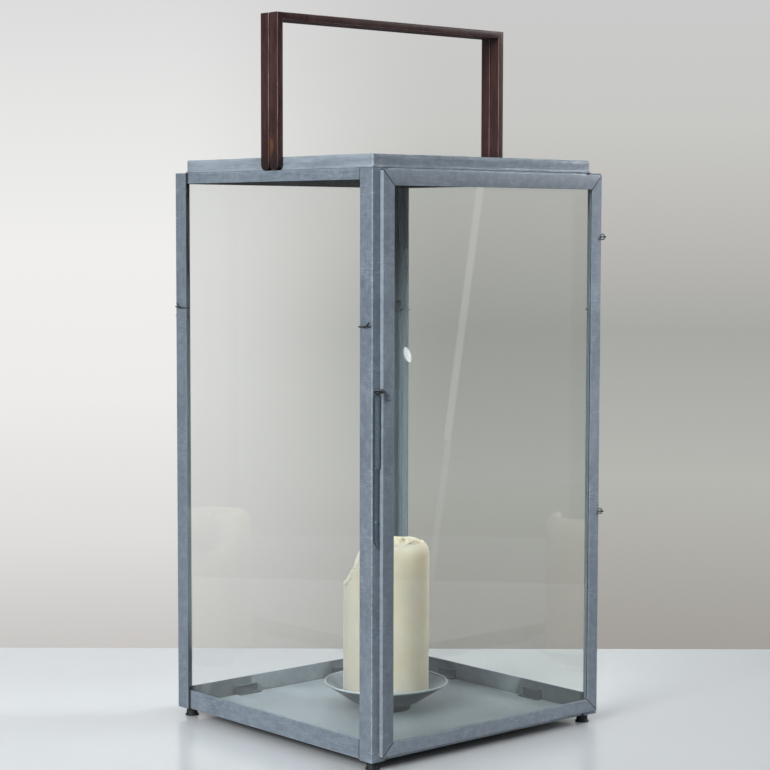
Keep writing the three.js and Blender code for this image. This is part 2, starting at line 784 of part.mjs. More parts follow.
function dish() {
  const wellRadius = dishBaseRadius - dishInnerShift + dishSheet / Math.tan(dishSlope);
  const rimInner = dishRimRadius - dishRimThickness;
  return turnedSolid([
    [0, dishBase],
    [dishBaseRadius, dishBase],
    [dishRimRadius, dishBase + dishHeight],
    [dishRimRadius - dishRimThickness / 2, dishBase + dishHeight + dishSheet / 2],
    [rimInner, dishBase + dishInside(rimInner)],
    [wellRadius, dishBase + dishSheet],
    [0, dishBase + dishSheet],
  ], roundSides);
}

// The foot of the candle is worn to the slope of the dish and sits just clear of it.
const candleSeatRadius = candleRadius - candleSeatWear;
const candleBottom = dishBase + dishInside(candleSeatRadius) + clearance;
const candleTop = candleBottom + candleHeight;
const poolFloor = candleTop - candlePoolDepth;

function candle() {
  const seatRise = dishInside(candleRadius) - dishInside(candleSeatRadius);
  const shoulder = [];
  for (let i = 0; i <= candleShoulderSteps; i += 1) {
    const angle = quarter * i / candleShoulderSteps;
    shoulder.push([candleRadius - candleShoulderWidth * (1 - Math.cos(angle)),
      candleTop - candleShoulderHeight * (1 - Math.sin(angle))]);
  }
  const body = turnedSolid([
    [0, candleBottom],
    [candleSeatRadius, candleBottom],
    [candleRadius, candleBottom + seatRise],
    ...shoulder,
    [candlePoolRadius, candleTop - candlePoolLip],
    [candlePoolFloorRadius, poolFloor],
    [0, poolFloor],
  ], roundSides);
  const lean = (90 - candleSlumpSlope) * degree;
  const heading = candleSlumpDirection * degree;
  const normal = [-Math.cos(heading) * Math.cos(lean), -Math.sin(heading) * Math.cos(lean), -Math.sin(lean)];
  const start = [Math.cos(heading) * candleSlumpTop, Math.sin(heading) * candleSlumpTop, candleTop];
  const offset = normal[0] * start[0] + normal[1] * start[1] + normal[2] * start[2];
  const bore = rod([0, 0, poolFloor - wickDepth], [0, 0, candleTop], wickRadius + clearance, 16);
  return body.trimByPlane(normal, offset).subtract(bore);
}

function wick() {
  return rod([0, 0, poolFloor - wickDepth + clearance], [0, 0, poolFloor + wickHeight], wickRadius, 12);
}

addPiece(assembly, 'dish_foot', dishFoot(), 'rubber');
addPiece(assembly, 'candle_dish', dish(), 'pewter');
addPiece(assembly, 'candle', candle(), 'wax');
addPiece(assembly, 'candle_wick', wick(), 'cotton');

// ---------------------------------------------------------------- origin
// The latch and hinges stand out on one side only, so the footprint's middle is found from the pieces.
const footprint = new THREE.Box3().setFromObject(assembly).getCenter(new THREE.Vector3());
assembly.position.set(-footprint.x, -footprint.y, 0);

export default lantern;
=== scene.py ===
"""Looks of the square candle lantern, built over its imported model.

Lengths are in millimetres, in the model's own frame: +Z up, the door on the -Y side, the
hinges towards +X. A piece is turned to metres when its mesh is made. Only the studio is
described in metres.
"""
import logging
import math
from dataclasses import dataclass, field, replace
from enum import Enum
from typing import Callable, Optional, Sequence, Union

import bmesh
import bpy
import numpy as np
from mathutils import Matrix, Quaternion, Vector


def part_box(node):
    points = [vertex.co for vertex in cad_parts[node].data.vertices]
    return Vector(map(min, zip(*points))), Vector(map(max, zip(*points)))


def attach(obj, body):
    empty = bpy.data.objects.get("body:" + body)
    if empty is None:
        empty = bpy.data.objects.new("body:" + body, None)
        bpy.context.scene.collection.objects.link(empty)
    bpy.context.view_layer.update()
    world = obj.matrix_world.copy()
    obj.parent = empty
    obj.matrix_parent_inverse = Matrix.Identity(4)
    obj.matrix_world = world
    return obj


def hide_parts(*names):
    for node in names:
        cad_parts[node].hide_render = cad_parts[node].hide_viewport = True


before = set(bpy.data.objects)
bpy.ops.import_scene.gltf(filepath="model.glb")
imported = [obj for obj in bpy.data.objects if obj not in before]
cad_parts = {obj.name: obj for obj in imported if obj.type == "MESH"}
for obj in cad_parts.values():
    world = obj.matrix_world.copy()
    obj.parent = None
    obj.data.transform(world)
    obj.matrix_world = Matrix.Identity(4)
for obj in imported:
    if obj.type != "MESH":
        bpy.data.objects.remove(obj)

Array = np.ndarray
Point = Sequence[float]
Colour = tuple[float, float, float, float]
Socket = bpy.types.NodeSocket
Material = bpy.types.Material
log = logging.getLogger("candle_lantern")
MM = 0.001
SLOPE_DOWN = -0.7
SLOPE_INWARD = -0.05
ALONG_X, ALONG_Y, ALONG_Z = np.eye(3)


# ------------------------------------------------------------------ shapes as arrays
class Facing(Enum):
    """Which faces of a piece a second finish covers."""

    DOWN = "down"
    INWARD = "inward"


class Side(Enum):
    """The four sides of the lantern, each with its turn about the vertical axis in degrees."""

    FRONT = 0.0
    RIGHT = 90.0
    REAR = 180.0
    LEFT = -90.0


def xyz(x: object, y: object, z: object) -> Array:
    """Points from three coordinates, each an array or one number for all of the points."""
    return np.stack(np.broadcast_arrays(x, y, z), axis=-1)


def arc(centre: Point, radii: Point, start: float, end: float, count: int = 6) -> Array:
    """Points on an ellipse's arc: centre plus radii times the cosine and sine of the angle.

    Args:
        centre: the middle of the ellipse, in the profile's plane.
        radii: its two half widths.
        start: first angle in degrees.
        end: last angle in degrees.
        count: number of points.

    Returns:
        An array of count points.
    """
    angle = np.radians(np.linspace(start, end, count))
    return np.stack([centre[0] + radii[0] * np.cos(angle), centre[1] + radii[1] * np.sin(angle)], axis=1)


def eased(points: Sequence[Point], radii: Union[float, Sequence[float]], count: int = 5,
          closed: bool = True) -> Array:
    """Rounds the corners of a line: each becomes an arc that touches both of its sides.

    The arc's centre lies on the corner's bisector, at the radius over the sine of half the
    corner's angle, and its points come from spherical interpolation between the tangent points.

    Args:
        points: the corners, in two or three dimensions.
        radii: one radius for all corners, or one for each.
        count: points on each arc.
        closed: whether the last corner joins the first; an open line keeps its two ends.

    Returns:
        The rounded line's points.
    """
    corner = np.asarray(points, float)
    inner = corner if closed else corner[1:-1]
    back = (np.roll(corner, 1, axis=0) if closed else corner[:-2]) - inner
    ahead = (np.roll(corner, -1, axis=0) if closed else corner[2:]) - inner
    back = back / np.linalg.norm(back, axis=1, keepdims=True)
    ahead = ahead / np.linalg.norm(ahead, axis=1, keepdims=True)
    half = np.arccos(np.clip((back * ahead).sum(axis=1), -1, 1)) / 2
    radius = np.broadcast_to(np.asarray(radii, float), len(inner))
    bisector = back + ahead
    bisector = bisector / np.linalg.norm(bisector, axis=1, keepdims=True)
    centre = inner + bisector * (radius / np.sin(half))[:, None]
    reach = (radius / np.tan(half))[:, None]
    first = inner + back * reach - centre
    last = inner + ahead * reach - centre
    turn = (math.pi - 2 * half)[:, None, None]
    part = np.linspace(0, 1, count)[None, :, None]
    bend = centre[:, None] + (np.sin((1 - part) * turn) * first[:, None]
                              + np.sin(part * turn) * last[:, None]) / np.sin(turn)
    line = bend.reshape(-1, corner.shape[1])
    return line if closed else np.concatenate([corner[:1], line, corner[-1:]])


def ripple(along: Array, height: float, length: float, phase: float = 0.0) -> Array:
    """A gentle hand-made unevenness: three sine waves of unrelated lengths, added up.

    Args:
        along: distance along the piece.
        height: size of the longest wave.
        length: length of the longest wave.
        phase: where the waves start.

    Returns:
        The displacement at each distance.
    """
    base = 2 * math.pi * along / length + phase
    return height * (np.sin(base) + 0.5 * np.sin(2.7 * base + 1.3) + 0.25 * np.sin(6.1 * base + 4.1))


def turned_about_z(points: Array, degrees: float) -> Array:
    """Points turned about the Z axis, by the usual two-by-two rotation of X and Y.

    Args:
        points: any array whose last axis holds X, Y and Z.
        degrees: the turn, anticlockwise from above.

    Returns:
        The turned points.
    """
    c, s = math.cos(math.radians(degrees)), math.sin(math.radians(degrees))
    x, y = points[..., 0], points[..., 1]
    return xyz(x * c - y * s, x * s + y * c, points[..., 2])


@dataclass
class Surface:
    """Points and faces of one closed surface, and a number kept at each point under a name."""

    points: Array
    faces: list[Sequence[int]]
    mark: Optional[tuple[str, Array]] = None

    def joined(self, *others: "Surface") -> "Surface":
        """This surface and others as one mesh.

        Args:
            *others: closed surfaces, none of them with a mark.

        Returns:
            All of their points and faces.
        """
        parts = (self, *others)
        starts = np.cumsum([0] + [len(part.points) for part in parts[:-1]])
        faces = [tuple(np.asarray(face) + start) for start, part in zip(starts, parts) for face in part.faces]
        return Surface(np.concatenate([part.points for part in parts]), faces)

    def moved(self, change: Callable[[Array], Array]) -> "Surface":
        """The same faces over changed points."""
        return Surface(change(self.points), self.faces, self.mark)

    def marked(self, name: str, values: Array) -> "Surface":
        """The same surface with a number at each point."""
        return Surface(self.points, self.faces, (name, values))


def ringed(rings: Array, start: Optional[Point] = None, end: Optional[Point] = None) -> Surface:
    """A closed surface over rings of points: quads between neighbours, and a cap at each end.

    Args:
        rings: array of shape (rings, points in a ring, 3).
        start: a pole that the first ring closes to; without one, the ring is one flat face.
        end: the same for the last ring.

    Returns:
        The surface.
    """
    count, around = rings.shape[:2]
    low = np.arange(around)
    high = np.roll(low, -1)
    base = (np.arange(count - 1) * around)[:, None]
    quads = np.stack([base + low, base + high, base + high + around, base + low + around], axis=-1)
    points = rings.reshape(-1, 3)
    faces: list[Sequence[int]] = quads.reshape(-1, 4).tolist()
    last = (count - 1) * around
    for pole, near, far, flat in ((start, high, low, low[::-1]), (end, low + last, high + last, low + last)):
        if pole is None:
            faces.append(flat.tolist())
        else:
            points = np.concatenate([points, [pole]])
            faces += np.stack([near, far, np.full(around, len(points) - 1)], axis=-1).tolist()
    return Surface(points, faces)


def member(outline: Array, start: Union[float, Array], end: Union[float, Array], steps: Union[int, Array],
           place: Callable[[Array, Array, Array], Array]) -> Surface:
    """A profile carried along a straight line, with ends that may be cut on a slant.

    Args:
        outline: the profile's points (u, v).
        start: where the line starts, for each profile point or for all.
        end: where it ends.
        steps: number of equal lengths that the line is divided into, or the cuts' shares of it.
        place: turns u, v and the distance w into model points.

    Returns:
        The closed surface.
    """
    part = (np.linspace(0, 1, steps + 1) if isinstance(steps, int) else steps)[:, None]
    first = np.broadcast_to(start, len(outline))[None]
    last = np.broadcast_to(end, len(outline))[None]
    along = first + (last - first) * part
    across, deep = (np.broadcast_to(outline[None, :, axis], along.shape) for axis in (0, 1))
    return ringed(place(across, deep, along))


# Weights for the highlights painted on folds and edges.
def rubbed(outline: Array, corner: Point, radius: float) -> Array:
    """How near each profile point is to a round corner: 1 at its middle and 0 where it ends."""
    gap = np.linalg.norm(outline - np.asarray(corner, float), axis=1)
    return np.clip((radius - gap) / (0.55 * radius), 0, 1)


def wire(path: Array, plane: Array, radius: Union[float, Array], around: int = 12) -> Surface:
    """A round wire along a path that lies in one plane.

    Each ring is spanned by the plane's normal and by that normal crossed with the path's
    direction, so the wire never twists.

    Args:
        path: the path's points.
        plane: normal of the plane that the path lies in.
        radius: the wire's radius, for all points or for each.
        around: points in a ring.

    Returns:
        The closed surface, with domed ends.
    """
    way = np.gradient(path, axis=0)
    way = way / np.linalg.norm(way, axis=1, keepdims=True)
    side = np.cross(plane, way)
    angle = np.linspace(0, 2 * math.pi, around, endpoint=False)
    size = np.broadcast_to(radius, len(path))[:, None, None]
    spoke = np.cos(angle)[None, :, None] * side[:, None] + np.sin(angle)[None, :, None] * plane
    dome = 0.4 * size[[0, -1], 0] * way[[0, -1]]
    return ringed(path[:, None] + size * spoke, path[0] - dome[0], path[-1] + dome[1])


def lathed(profile: Array, sides: int, centre: Point = (0.0, 0.0)) -> Surface:
    """A profile of (radius, height) turned about a vertical axis; both ends lie on the axis.

    Args:
        profile: the points, the first and the last with no radius.
        sides: points in a ring.
        centre: the axis.

    Returns:
        The closed surface.
    """
    angle = np.linspace(0, 2 * math.pi, sides, endpoint=False)
    radius, height = profile[1:-1, :1], profile[1:-1, 1:]
    rings = xyz(centre[0] + radius * np.cos(angle), centre[1] + radius * np.sin(angle), height)
    return ringed(rings, (*centre, profile[0, 1]), (*centre, profile[-1, 1]))


def rounded_square(reach: Array, corner: Array, along_side: int = 12, in_corner: int = 7) -> Array:
    """Rings in the shape of a square with round corners.

    Args:
        reach: half width of each ring.
        corner: corner radius of each ring.
        along_side: points on each straight side.
        in_corner: points on each corner.

    Returns:
        Array of shape (rings, points, 2), anticlockwise.
    """
    reach, corner = np.asarray(reach, float)[:, None], np.asarray(corner, float)[:, None]
    angle = np.radians(np.linspace(0, 90, in_corner))[None]
    flat = reach - corner
    bend = np.stack([flat + corner * np.cos(angle), flat + corner * np.sin(angle)], axis=-1)
    part = np.linspace(0, 1, along_side + 2)[None, 1:-1]
    top = flat * (1 - 2 * part)
    side = np.stack([top, np.broadcast_to(reach, top.shape)], axis=-1)
    turns = [np.concatenate([bend, side], axis=1)]
    for _ in range(3):
        turns.append(np.stack([-turns[-1][..., 1], turns[-1][..., 0]], axis=-1))
    return np.concatenate(turns, axis=1)


# ------------------------------------------------------------------ meshes
def make_piece(node: str, made: str, surface: Surface, material: Material, body: str = "lantern",
               crease: float = 35.0, linings: Optional[dict[Facing, Material]] = None) -> None:
    """Makes one piece of the lantern and joins it to a moving body.

    Args:
        node: the model's node that it stands for.
        made: how it is made, which its name says after the node's.
        surface: its points in millimetres, its faces, and the number kept at each point.
        material: its finish.
        body: the body that it rides on.
        crease: angle in degrees above which an edge is sharp.
        linings: other finishes, for the faces that look down or towards the lantern's middle.
    """
    name = f"{node}_{made}"
    mesh = bpy.data.meshes.new(name)
    mesh.from_pydata((surface.points * MM).tolist(), [], surface.faces)
    shell = bmesh.new()
    shell.from_mesh(mesh)
    if shell.calc_volume(signed=True) < 0:
        bmesh.ops.reverse_faces(shell, faces=shell.faces)
    shell.to_mesh(mesh)
    shell.free()
    mesh.polygons.foreach_set("use_smooth", np.ones(len(mesh.polygons), bool))
    mesh.set_sharp_from_angle(angle=math.radians(crease))
    if surface.mark:
        layer = mesh.attributes.new(surface.mark[0], "FLOAT", "POINT")
        layer.data.foreach_set("value", np.asarray(surface.mark[1], np.float32))
    mesh.materials.append(material)
    if linings:
        normal, middle = np.zeros((2, len(mesh.polygons) * 3))
        mesh.polygons.foreach_get("normal", normal)
        mesh.polygons.foreach_get("center", middle)
        normal, middle = normal.reshape(-1, 3), middle.reshape(-1, 3)
        looks = {Facing.DOWN: normal[:, 2] < SLOPE_DOWN,
                 Facing.INWARD: (normal[:, :2] * middle[:, :2]).sum(axis=1) < SLOPE_INWARD}
        index = np.zeros(len(mesh.polygons), np.int32)
        for number, (facing, finish) in enumerate(linings.items(), 1):
            mesh.materials.append(finish)
            index[looks[facing]] = number
        mesh.polygons.foreach_set("material_index", index)
    piece = bpy.data.objects.new(name, mesh)
    bpy.context.scene.collection.objects.link(piece)
    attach(piece, body)
    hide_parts(node)
    log.info("%s: %d faces on %s", name, len(mesh.polygons), body)


def dress(node: str, material: Material) -> None:
    """Gives one of the model's own nodes its finish.

    Args:
        node: the node's name.
        material: the finish, in place of what it had.
    """
    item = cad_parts[node]
    item.data.materials.clear()
    item.data.materials.append(material)
    log.info("%s: dressed in %s", node, material.name)


# ------------------------------------------------------------------ finishes
def colour(code: str) -> Colour:
    """An sRGB colour as the linear colour that shaders take.

    Args:
        code: the colour as # and six hex digits.

    Returns:
        Red, green, blue and an alpha of 1.
    """
    value = np.array([int(code[i:i + 2], 16) for i in (1, 3, 5)]) / 255
    linear = np.where(value <= 0.04045, value / 12.92, ((value + 0.055) / 1.055) ** 2.4)
    return (*linear.tolist(), 1.0)


class Shading:
    """A node tree under construction; every node of a material or world comes from node()."""

    def __init__(self, tree: bpy.types.NodeTree) -> None:
        """Takes over a tree and empties it."""
        self.tree = tree
        tree.nodes.clear()

    def node(self, kind: str, settings: Optional[dict] = None, **inputs: object) -> bpy.types.Node:
        """Adds a node with its settings and inputs.

        Args:
            kind: Blender's name of the node's type.
            settings: the node's properties by name; "ramp" holds a colour ramp's stops.
            **inputs: values or output sockets, by input name with _ for a space, or i0, i1 by place.

        Returns:
            The node.
        """
        made = self.tree.nodes.new(kind)
        for key, value in (settings or {}).items():
            if key == "ramp":
                self._set_ramp(made, value)
            else:
                setattr(made, key, value)
        for key, value in inputs.items():
            index = int(key[1:]) if key[0] == "i" and key[1:].isdigit() else key.replace("_", " ")
            if isinstance(value, Socket):
                self.tree.links.new(value, made.inputs[index])
            else:
                made.inputs[index].default_value = value
        return made

    @staticmethod
    def _set_ramp(made: bpy.types.Node, stops: Sequence[tuple[float, Colour]]) -> None:
        """Gives a colour ramp its stops.

        Args:
            made: the ramp node.
            stops: position and colour of each stop, in order.
        """
        elements = made.color_ramp.elements
        while len(elements) < len(stops):
            elements.new(1.0)
        for element, (position, value) in zip(elements, stops):
            element.position, element.color = position, value

    def between(self, value: Socket, low: float, high: float, to_low: float = 0.0, to_high: float = 1.0,
                course: str = "LINEAR") -> Socket:
        """A value carried from one range to another, and kept inside the second."""
        return self.node("ShaderNodeMapRange", {"interpolation_type": course}, Value=value, From_Min=low,
                         From_Max=high, To_Min=to_low, To_Max=to_high).outputs[0]

    def mixed(self, share: object, first: object, second: object) -> Socket:
        """Two colours mixed by a share between 0 and 1."""
        return self.node("ShaderNodeMix", {"data_type": "RGBA"}, i0=share, i6=first, i7=second).outputs[2]

    def math(self, operation: str, first: object, second: object = 0.0) -> Socket:
        """One step of arithmetic on two values."""
        return self.node("ShaderNodeMath", {"operation": operation}, i0=first, i1=second).outputs[0]


class Recipe(Shading):
    """A material under construction; tone is its colour so far."""

    def __init__(self, name: str, ground: str) -> None:
        """Starts a material with one colour, an output and the object's coordinates.

        Args:
            name: the material's name.
            ground: its first colour, as a hex code.
        """
        self.material = bpy.data.materials.new(name)
        self.material.use_nodes = True
        super().__init__(self.material.node_tree)
        self.output = self.node("ShaderNodeOutputMaterial")
        self.place = self.node("ShaderNodeTexCoord").outputs["Object"]
        self.tone: object = colour(ground)

    def lay(self, code: str, share: Socket, weight: object = None) -> None:
        """Lays a colour over the tone so far, by a share that a weight may reduce."""
        cover = share if weight is None else self.product(share, weight)
        self.tone = self.mixed(cover, self.tone, colour(code))

    def stretched(self, scale: Sequence[float]) -> Socket:
        """The object's coordinates multiplied, to draw a pattern out along an axis."""
        return self.node("ShaderNodeMapping", None, Vector=self.place, Scale=scale).outputs[0]

    def noise(self, size_mm: float, detail: float = 3.0, roughness: float = 0.55,
              stretch: Sequence[float] = (1.0, 1.0, 1.0), distortion: float = 0.0) -> Socket:
        """Noise with lumps of about a given size.

        Args:
            size_mm: size of the largest lumps.
            detail: octaves of finer noise.
            roughness: strength of the finer noise.
            stretch: factors on X, Y and Z; a small one draws the lumps out along that axis.
            distortion: how much the lumps are bent.

        Returns:
            The noise, about 0.3 to 0.7.
        """
        return self.node("ShaderNodeTexNoise", None, Vector=self.stretched(stretch), Scale=1000.0 / size_mm,
                         Detail=detail, Roughness=roughness, Distortion=distortion).outputs["Fac"]

    def product(self, first: object, second: object) -> Socket:
        """Two shares multiplied."""
        return self.math("MULTIPLY", first, second)

    def attribute(self, name: str) -> Socket:
        """A number that the mesh carries at each point."""
        return self.node("ShaderNodeAttribute", {"attribute_name": name}).outputs["Fac"]

    def axis(self, name: str) -> Socket:
        """One of the object's coordinates, in metres."""
        return self.node("ShaderNodeSeparateXYZ", None, Vector=self.place).outputs[name]

    def looking(self, name: str) -> Socket:
        """How far the surface faces along one of the object's axes, from -1 to 1."""
        normal = self.node("ShaderNodeTexCoord").outputs["Normal"]
        return self.node("ShaderNodeSeparateXYZ", None, Vector=normal).outputs[name]

    def below(self, steep: float = -0.9, upright: float = -0.4) -> Socket:
        """1 where the surface faces down, 0 where it stands or faces up."""
        return self.between(self.looking("Z"), steep, upright, 1.0, 0.0)

    def bump(self, height: Socket, depth_mm: float, strength: float = 1.0, **under: Socket) -> Socket:
        """A bumpy normal from a height of 0 to 1 and its real depth, over another Normal if one is given."""
        return self.node("ShaderNodeBump", None, Height=height, Distance=depth_mm * MM, Strength=strength,
                         **under).outputs[0]

    def finished(self, **inputs: object) -> Material:
        """Closes the material with one Principled shader of its tone.

        Args:
            **inputs: the shader's other inputs, as node() takes them.

        Returns:
            The material.
        """
        shader = self.node("ShaderNodeBsdfPrincipled", None, Base_Color=self.tone, **inputs)
        self.tree.links.new(shader.outputs[0], self.output.inputs[0])
        return self.material


class Grain(Enum):
    """Which way the brush marks of a patinated sheet run, as factors on X, Y and Z."""

    UPRIGHT = (1.0, 1.0, 0.07)
    ACROSS_X = (0.07, 1.0, 1.0)
    ACROSS_Y = (1.0, 0.07, 1.0)
    LEVEL = (0.10, 0.10, 1.0)


@dataclass(frozen=True)
class PatinatedZinc:
    """Galvanised steel sheet, chemically patinated and waxed: a dull blue-grey skin.

    The patina is cloudy and finely grained, with thin brush streaks along the strip and groups
    of short dashes across it. Highlights are painted on the folds and edges, where the sheet is
    also a little rubbed, and shade is painted on the faces that look down, so the metal shines
    only softly and unevenly.

    The mesh carries worn: 1 where an edge highlight is painted, 0 on plain sheet and -1 where
    shade is painted in a joint or seam. One setting paints the side that looks towards -X paler,
    as light falls on it; another paints the lower part darker, as shade.
    """

    base: str = "#7d8893"
    pale: str = "#9aa6b0"
    deep: str = "#626d78"
    # Colour of the painted highlights on folds and edges.
    rubbed: str = "#b9c3cc"
    # Colour of the painted shade in seams, on faces that look down, and low down.
    painted_shade: str = "#23282c"
    grain: Grain = Grain.UPRIGHT
    dashes: tuple[float, float, float] = (0.12, 0.12, 1.0)
    metallic: float = 0.15
    roughness: float = 0.46
    # Share of painted shade on the faces that look down.
    sooty: float = 0.8
    # Painted light: how much paler the side that looks towards -X is.
    lit_side_paler: float = 0.0
    # How little the painted highlights are broken up.
    steady_highlight: float = 0.25
    streaked: float = 0.14
    # Painted shade: how much darker the lower part is, and between which heights.
    low_shade: float = 0.0
    low_shade_from: float = 370.0
    low_shade_full: float = 220.0

    def make(self, name: str) -> Material:
        """Makes the finish.

        Args:
            name: the material's name.

        Returns:
            The material.
        """
        mix = Recipe(name, self.deep)
        worn = mix.attribute("worn")
        clouds = mix.between(mix.noise(60, 4, 0.6, distortion=0.5), 0.34, 0.68)
        streaks = mix.between(mix.noise(1.8, 3, 0.6, self.grain.value), 0.42, 0.62)
        grouped = mix.between(mix.noise(26, 2, 0.5), 0.50, 0.62)
        mix.lay(self.base, clouds, 0.55)
        mix.lay(self.pale, mix.between(mix.noise(7, 4, 0.6, distortion=0.4), 0.44, 0.62), 0.24)
        mix.lay(self.pale, streaks, self.streaked)
        mix.lay(self.deep, mix.between(mix.noise(1.5, 3, 0.65), 0.44, 0.62), 0.28)
        dashed = mix.product(grouped, mix.between(mix.noise(1.1, 1, 0.5, self.dashes), 0.55, 0.64))
        mix.lay(self.pale, dashed, 0.34)
        # Painted light: the side that looks towards -X is paler.
        if self.lit_side_paler:
            patchy = mix.between(mix.noise(5, 4, 0.65, self.grain.value), 0.38, 0.62, 0.35, 1.0)
            mix.lay(self.pale, mix.between(mix.looking("X"), -0.5, -0.9, 0.0, self.lit_side_paler), patchy)
        # Painted shade: darker towards the bottom.
        if self.low_shade:
            start, end = self.low_shade_from * MM, self.low_shade_full * MM
            mix.lay(self.painted_shade, mix.between(mix.axis("Z"), start, end, 0.0, self.low_shade))
        # Painted highlights on folds and edges (worn above 0), broken up by noise.
        broken_highlight = mix.between(mix.noise(3.5, 3, 0.6), 0.38, 0.60, self.steady_highlight, 1.0)
        mix.lay(self.rubbed, mix.between(worn, 0.15, 0.8), mix.product(broken_highlight, 0.85))
        # Painted shade in joints and seams (worn below 0).
        mix.lay(self.painted_shade, mix.between(worn, -1.0, -0.2, 0.9, 0.0))
        # Painted shade on the faces that look down.
        mix.lay(self.painted_shade, mix.below(), self.sooty)
        smooth, rough = self.roughness - 0.06, self.roughness + 0.12
        shine = mix.between(mix.math("ADD", streaks, clouds), 0.2, 1.8, smooth, rough)
        relief = mix.bump(mix.noise(11, 3, 0.5), 0.08, 0.5)
        return mix.finished(Metallic=self.metallic, Roughness=shine,
                            Normal=mix.bump(streaks, 0.02, 0.35, Normal=relief))


@dataclass(frozen=True)
class SootAndShadeZinc:
    """Matt black-grey lining: soot over the flame and painted shade on faces looking down or inwards."""

    base: str = "#2b3033"
    thin: str = "#4a5054"

    def make(self, name: str) -> Material:
        """Makes the finish.

        Args:
            name: the material's name.

        Returns:
            The material.
        """
        mix = Recipe(name, self.base)
        mix.lay(self.thin, mix.between(mix.noise(30, 4, 0.6), 0.40, 0.68))
        return mix.finished(Roughness=0.95, Specular_IOR_Level=0.05,
                            Normal=mix.bump(mix.noise(2.0, 3), 0.04, 0.4))


@dataclass(frozen=True)
class ShadedInnerZinc:
    """The posts' inner faces: darker grey zinc, painted darker still towards the lid: painted shade with some
    soot.
    """

    clean: str = "#525d64"
    brushed: str = "#606b72"
    # Colour of the painted shade, with some soot, that deepens towards the lid.
    soot: str = "#2a2f32"
    shade_starts: float = 320.0
    shade_full: float = 580.0

    def make(self, name: str) -> Material:
        """Makes the finish.

        Args:
            name: the material's name.

        Returns:
            The material.
        """
        mix = Recipe(name, self.clean)
        clouds = mix.between(mix.noise(24, 4, 0.6, (1, 1, 0.4)), 0.36, 0.66, -50 * MM, 50 * MM)
        mix.lay(self.brushed, mix.between(mix.noise(1.8, 3, 0.6, Grain.UPRIGHT.value), 0.42, 0.62), 0.3)
        height = mix.math("ADD", mix.axis("Z"), clouds)
        # Painted shade deepening towards the lid.
        mix.lay(self.soot, mix.between(height, self.shade_starts * MM, self.shade_full * MM, 0.0, 0.3))
        return mix.finished(Roughness=0.6, Specular_IOR_Level=0.3,
                            Normal=mix.bump(mix.noise(9, 3), 0.05, 0.4))


@dataclass(frozen=True)
class FloorZinc:
    """The same sheet as a plain floor: greyer, smoother, with dust clouds; painted shade at its edge and
    underneath.
    """

    plan: "Plan"
    base: str = "#727d83"
    dust: str = "#869196"
    specks: str = "#c2c8c8"
    joint_shade: str = "#2c3134"
    joint_shade_from: float = 133.4

    def make(self, name: str) -> Material:
        """Makes the finish.

        Args:
            name: the material's name.

        Returns:
            The material.
        """
        mix = Recipe(name, self.base)
        clouds = mix.between(mix.noise(60, 4, 0.6, distortion=0.8), 0.35, 0.68)
        mix.lay(self.dust, clouds)
        mix.lay(self.specks, mix.between(mix.noise(1.6, 2, 0.5), 0.52, 0.70), 0.14)
        # Painted shade: a dark band where the floor meets the rails and panes, and on its underside.
        across = mix.math("ABSOLUTE", mix.axis("X"))
        along = mix.math("ABSOLUTE", mix.math("SUBTRACT", mix.axis("Y"), self.plan.centre[1] * MM))
        start, end = self.joint_shade_from * MM, (self.joint_shade_from + 1.0) * MM
        edge = mix.between(mix.math("MAXIMUM", across, along), start, end)
        mix.lay(self.joint_shade, mix.math("MAXIMUM", mix.product(edge, 0.8), mix.below()))
        return mix.finished(Metallic=0.1, Roughness=mix.between(clouds, 0, 1, 0.44, 0.58),
                            Normal=mix.bump(mix.noise(30, 3, 0.5), 0.15, 0.4))


@dataclass(frozen=True)
class BlackenedSteel:
    """Drawn steel wire or strip with a dark oxide skin: nearly black, with soft highlights.

    Where rim is set, the mesh carries rim: how near its edges each point is; the edges are painted dark as
    shade.
    """

    base: str = "#2c2b2d"
    pale: str = "#54504e"
    roughness: float = 0.42
    metallic: float = 0.6
    rim: Optional[str] = None

    def make(self, name: str) -> Material:
        """Makes the finish.

        Args:
            name: the material's name.

        Returns:
            The material.
        """
        mix = Recipe(name, self.base)
        patches = mix.between(mix.noise(3, 3, 0.6), 0.42, 0.68)
        mix.lay(self.pale, patches, 0.5)
        if self.rim:
            # Painted shade along the edges.
            mix.lay(self.rim, mix.between(mix.attribute("rim"), 0.35, 1.0, 0.0, 0.85))
        return mix.finished(Metallic=self.metallic, Normal=mix.bump(mix.noise(1.2, 2), 0.02, 0.3),
                            Roughness=mix.between(patches, 0, 1, self.roughness - 0.08, self.roughness + 0.1))


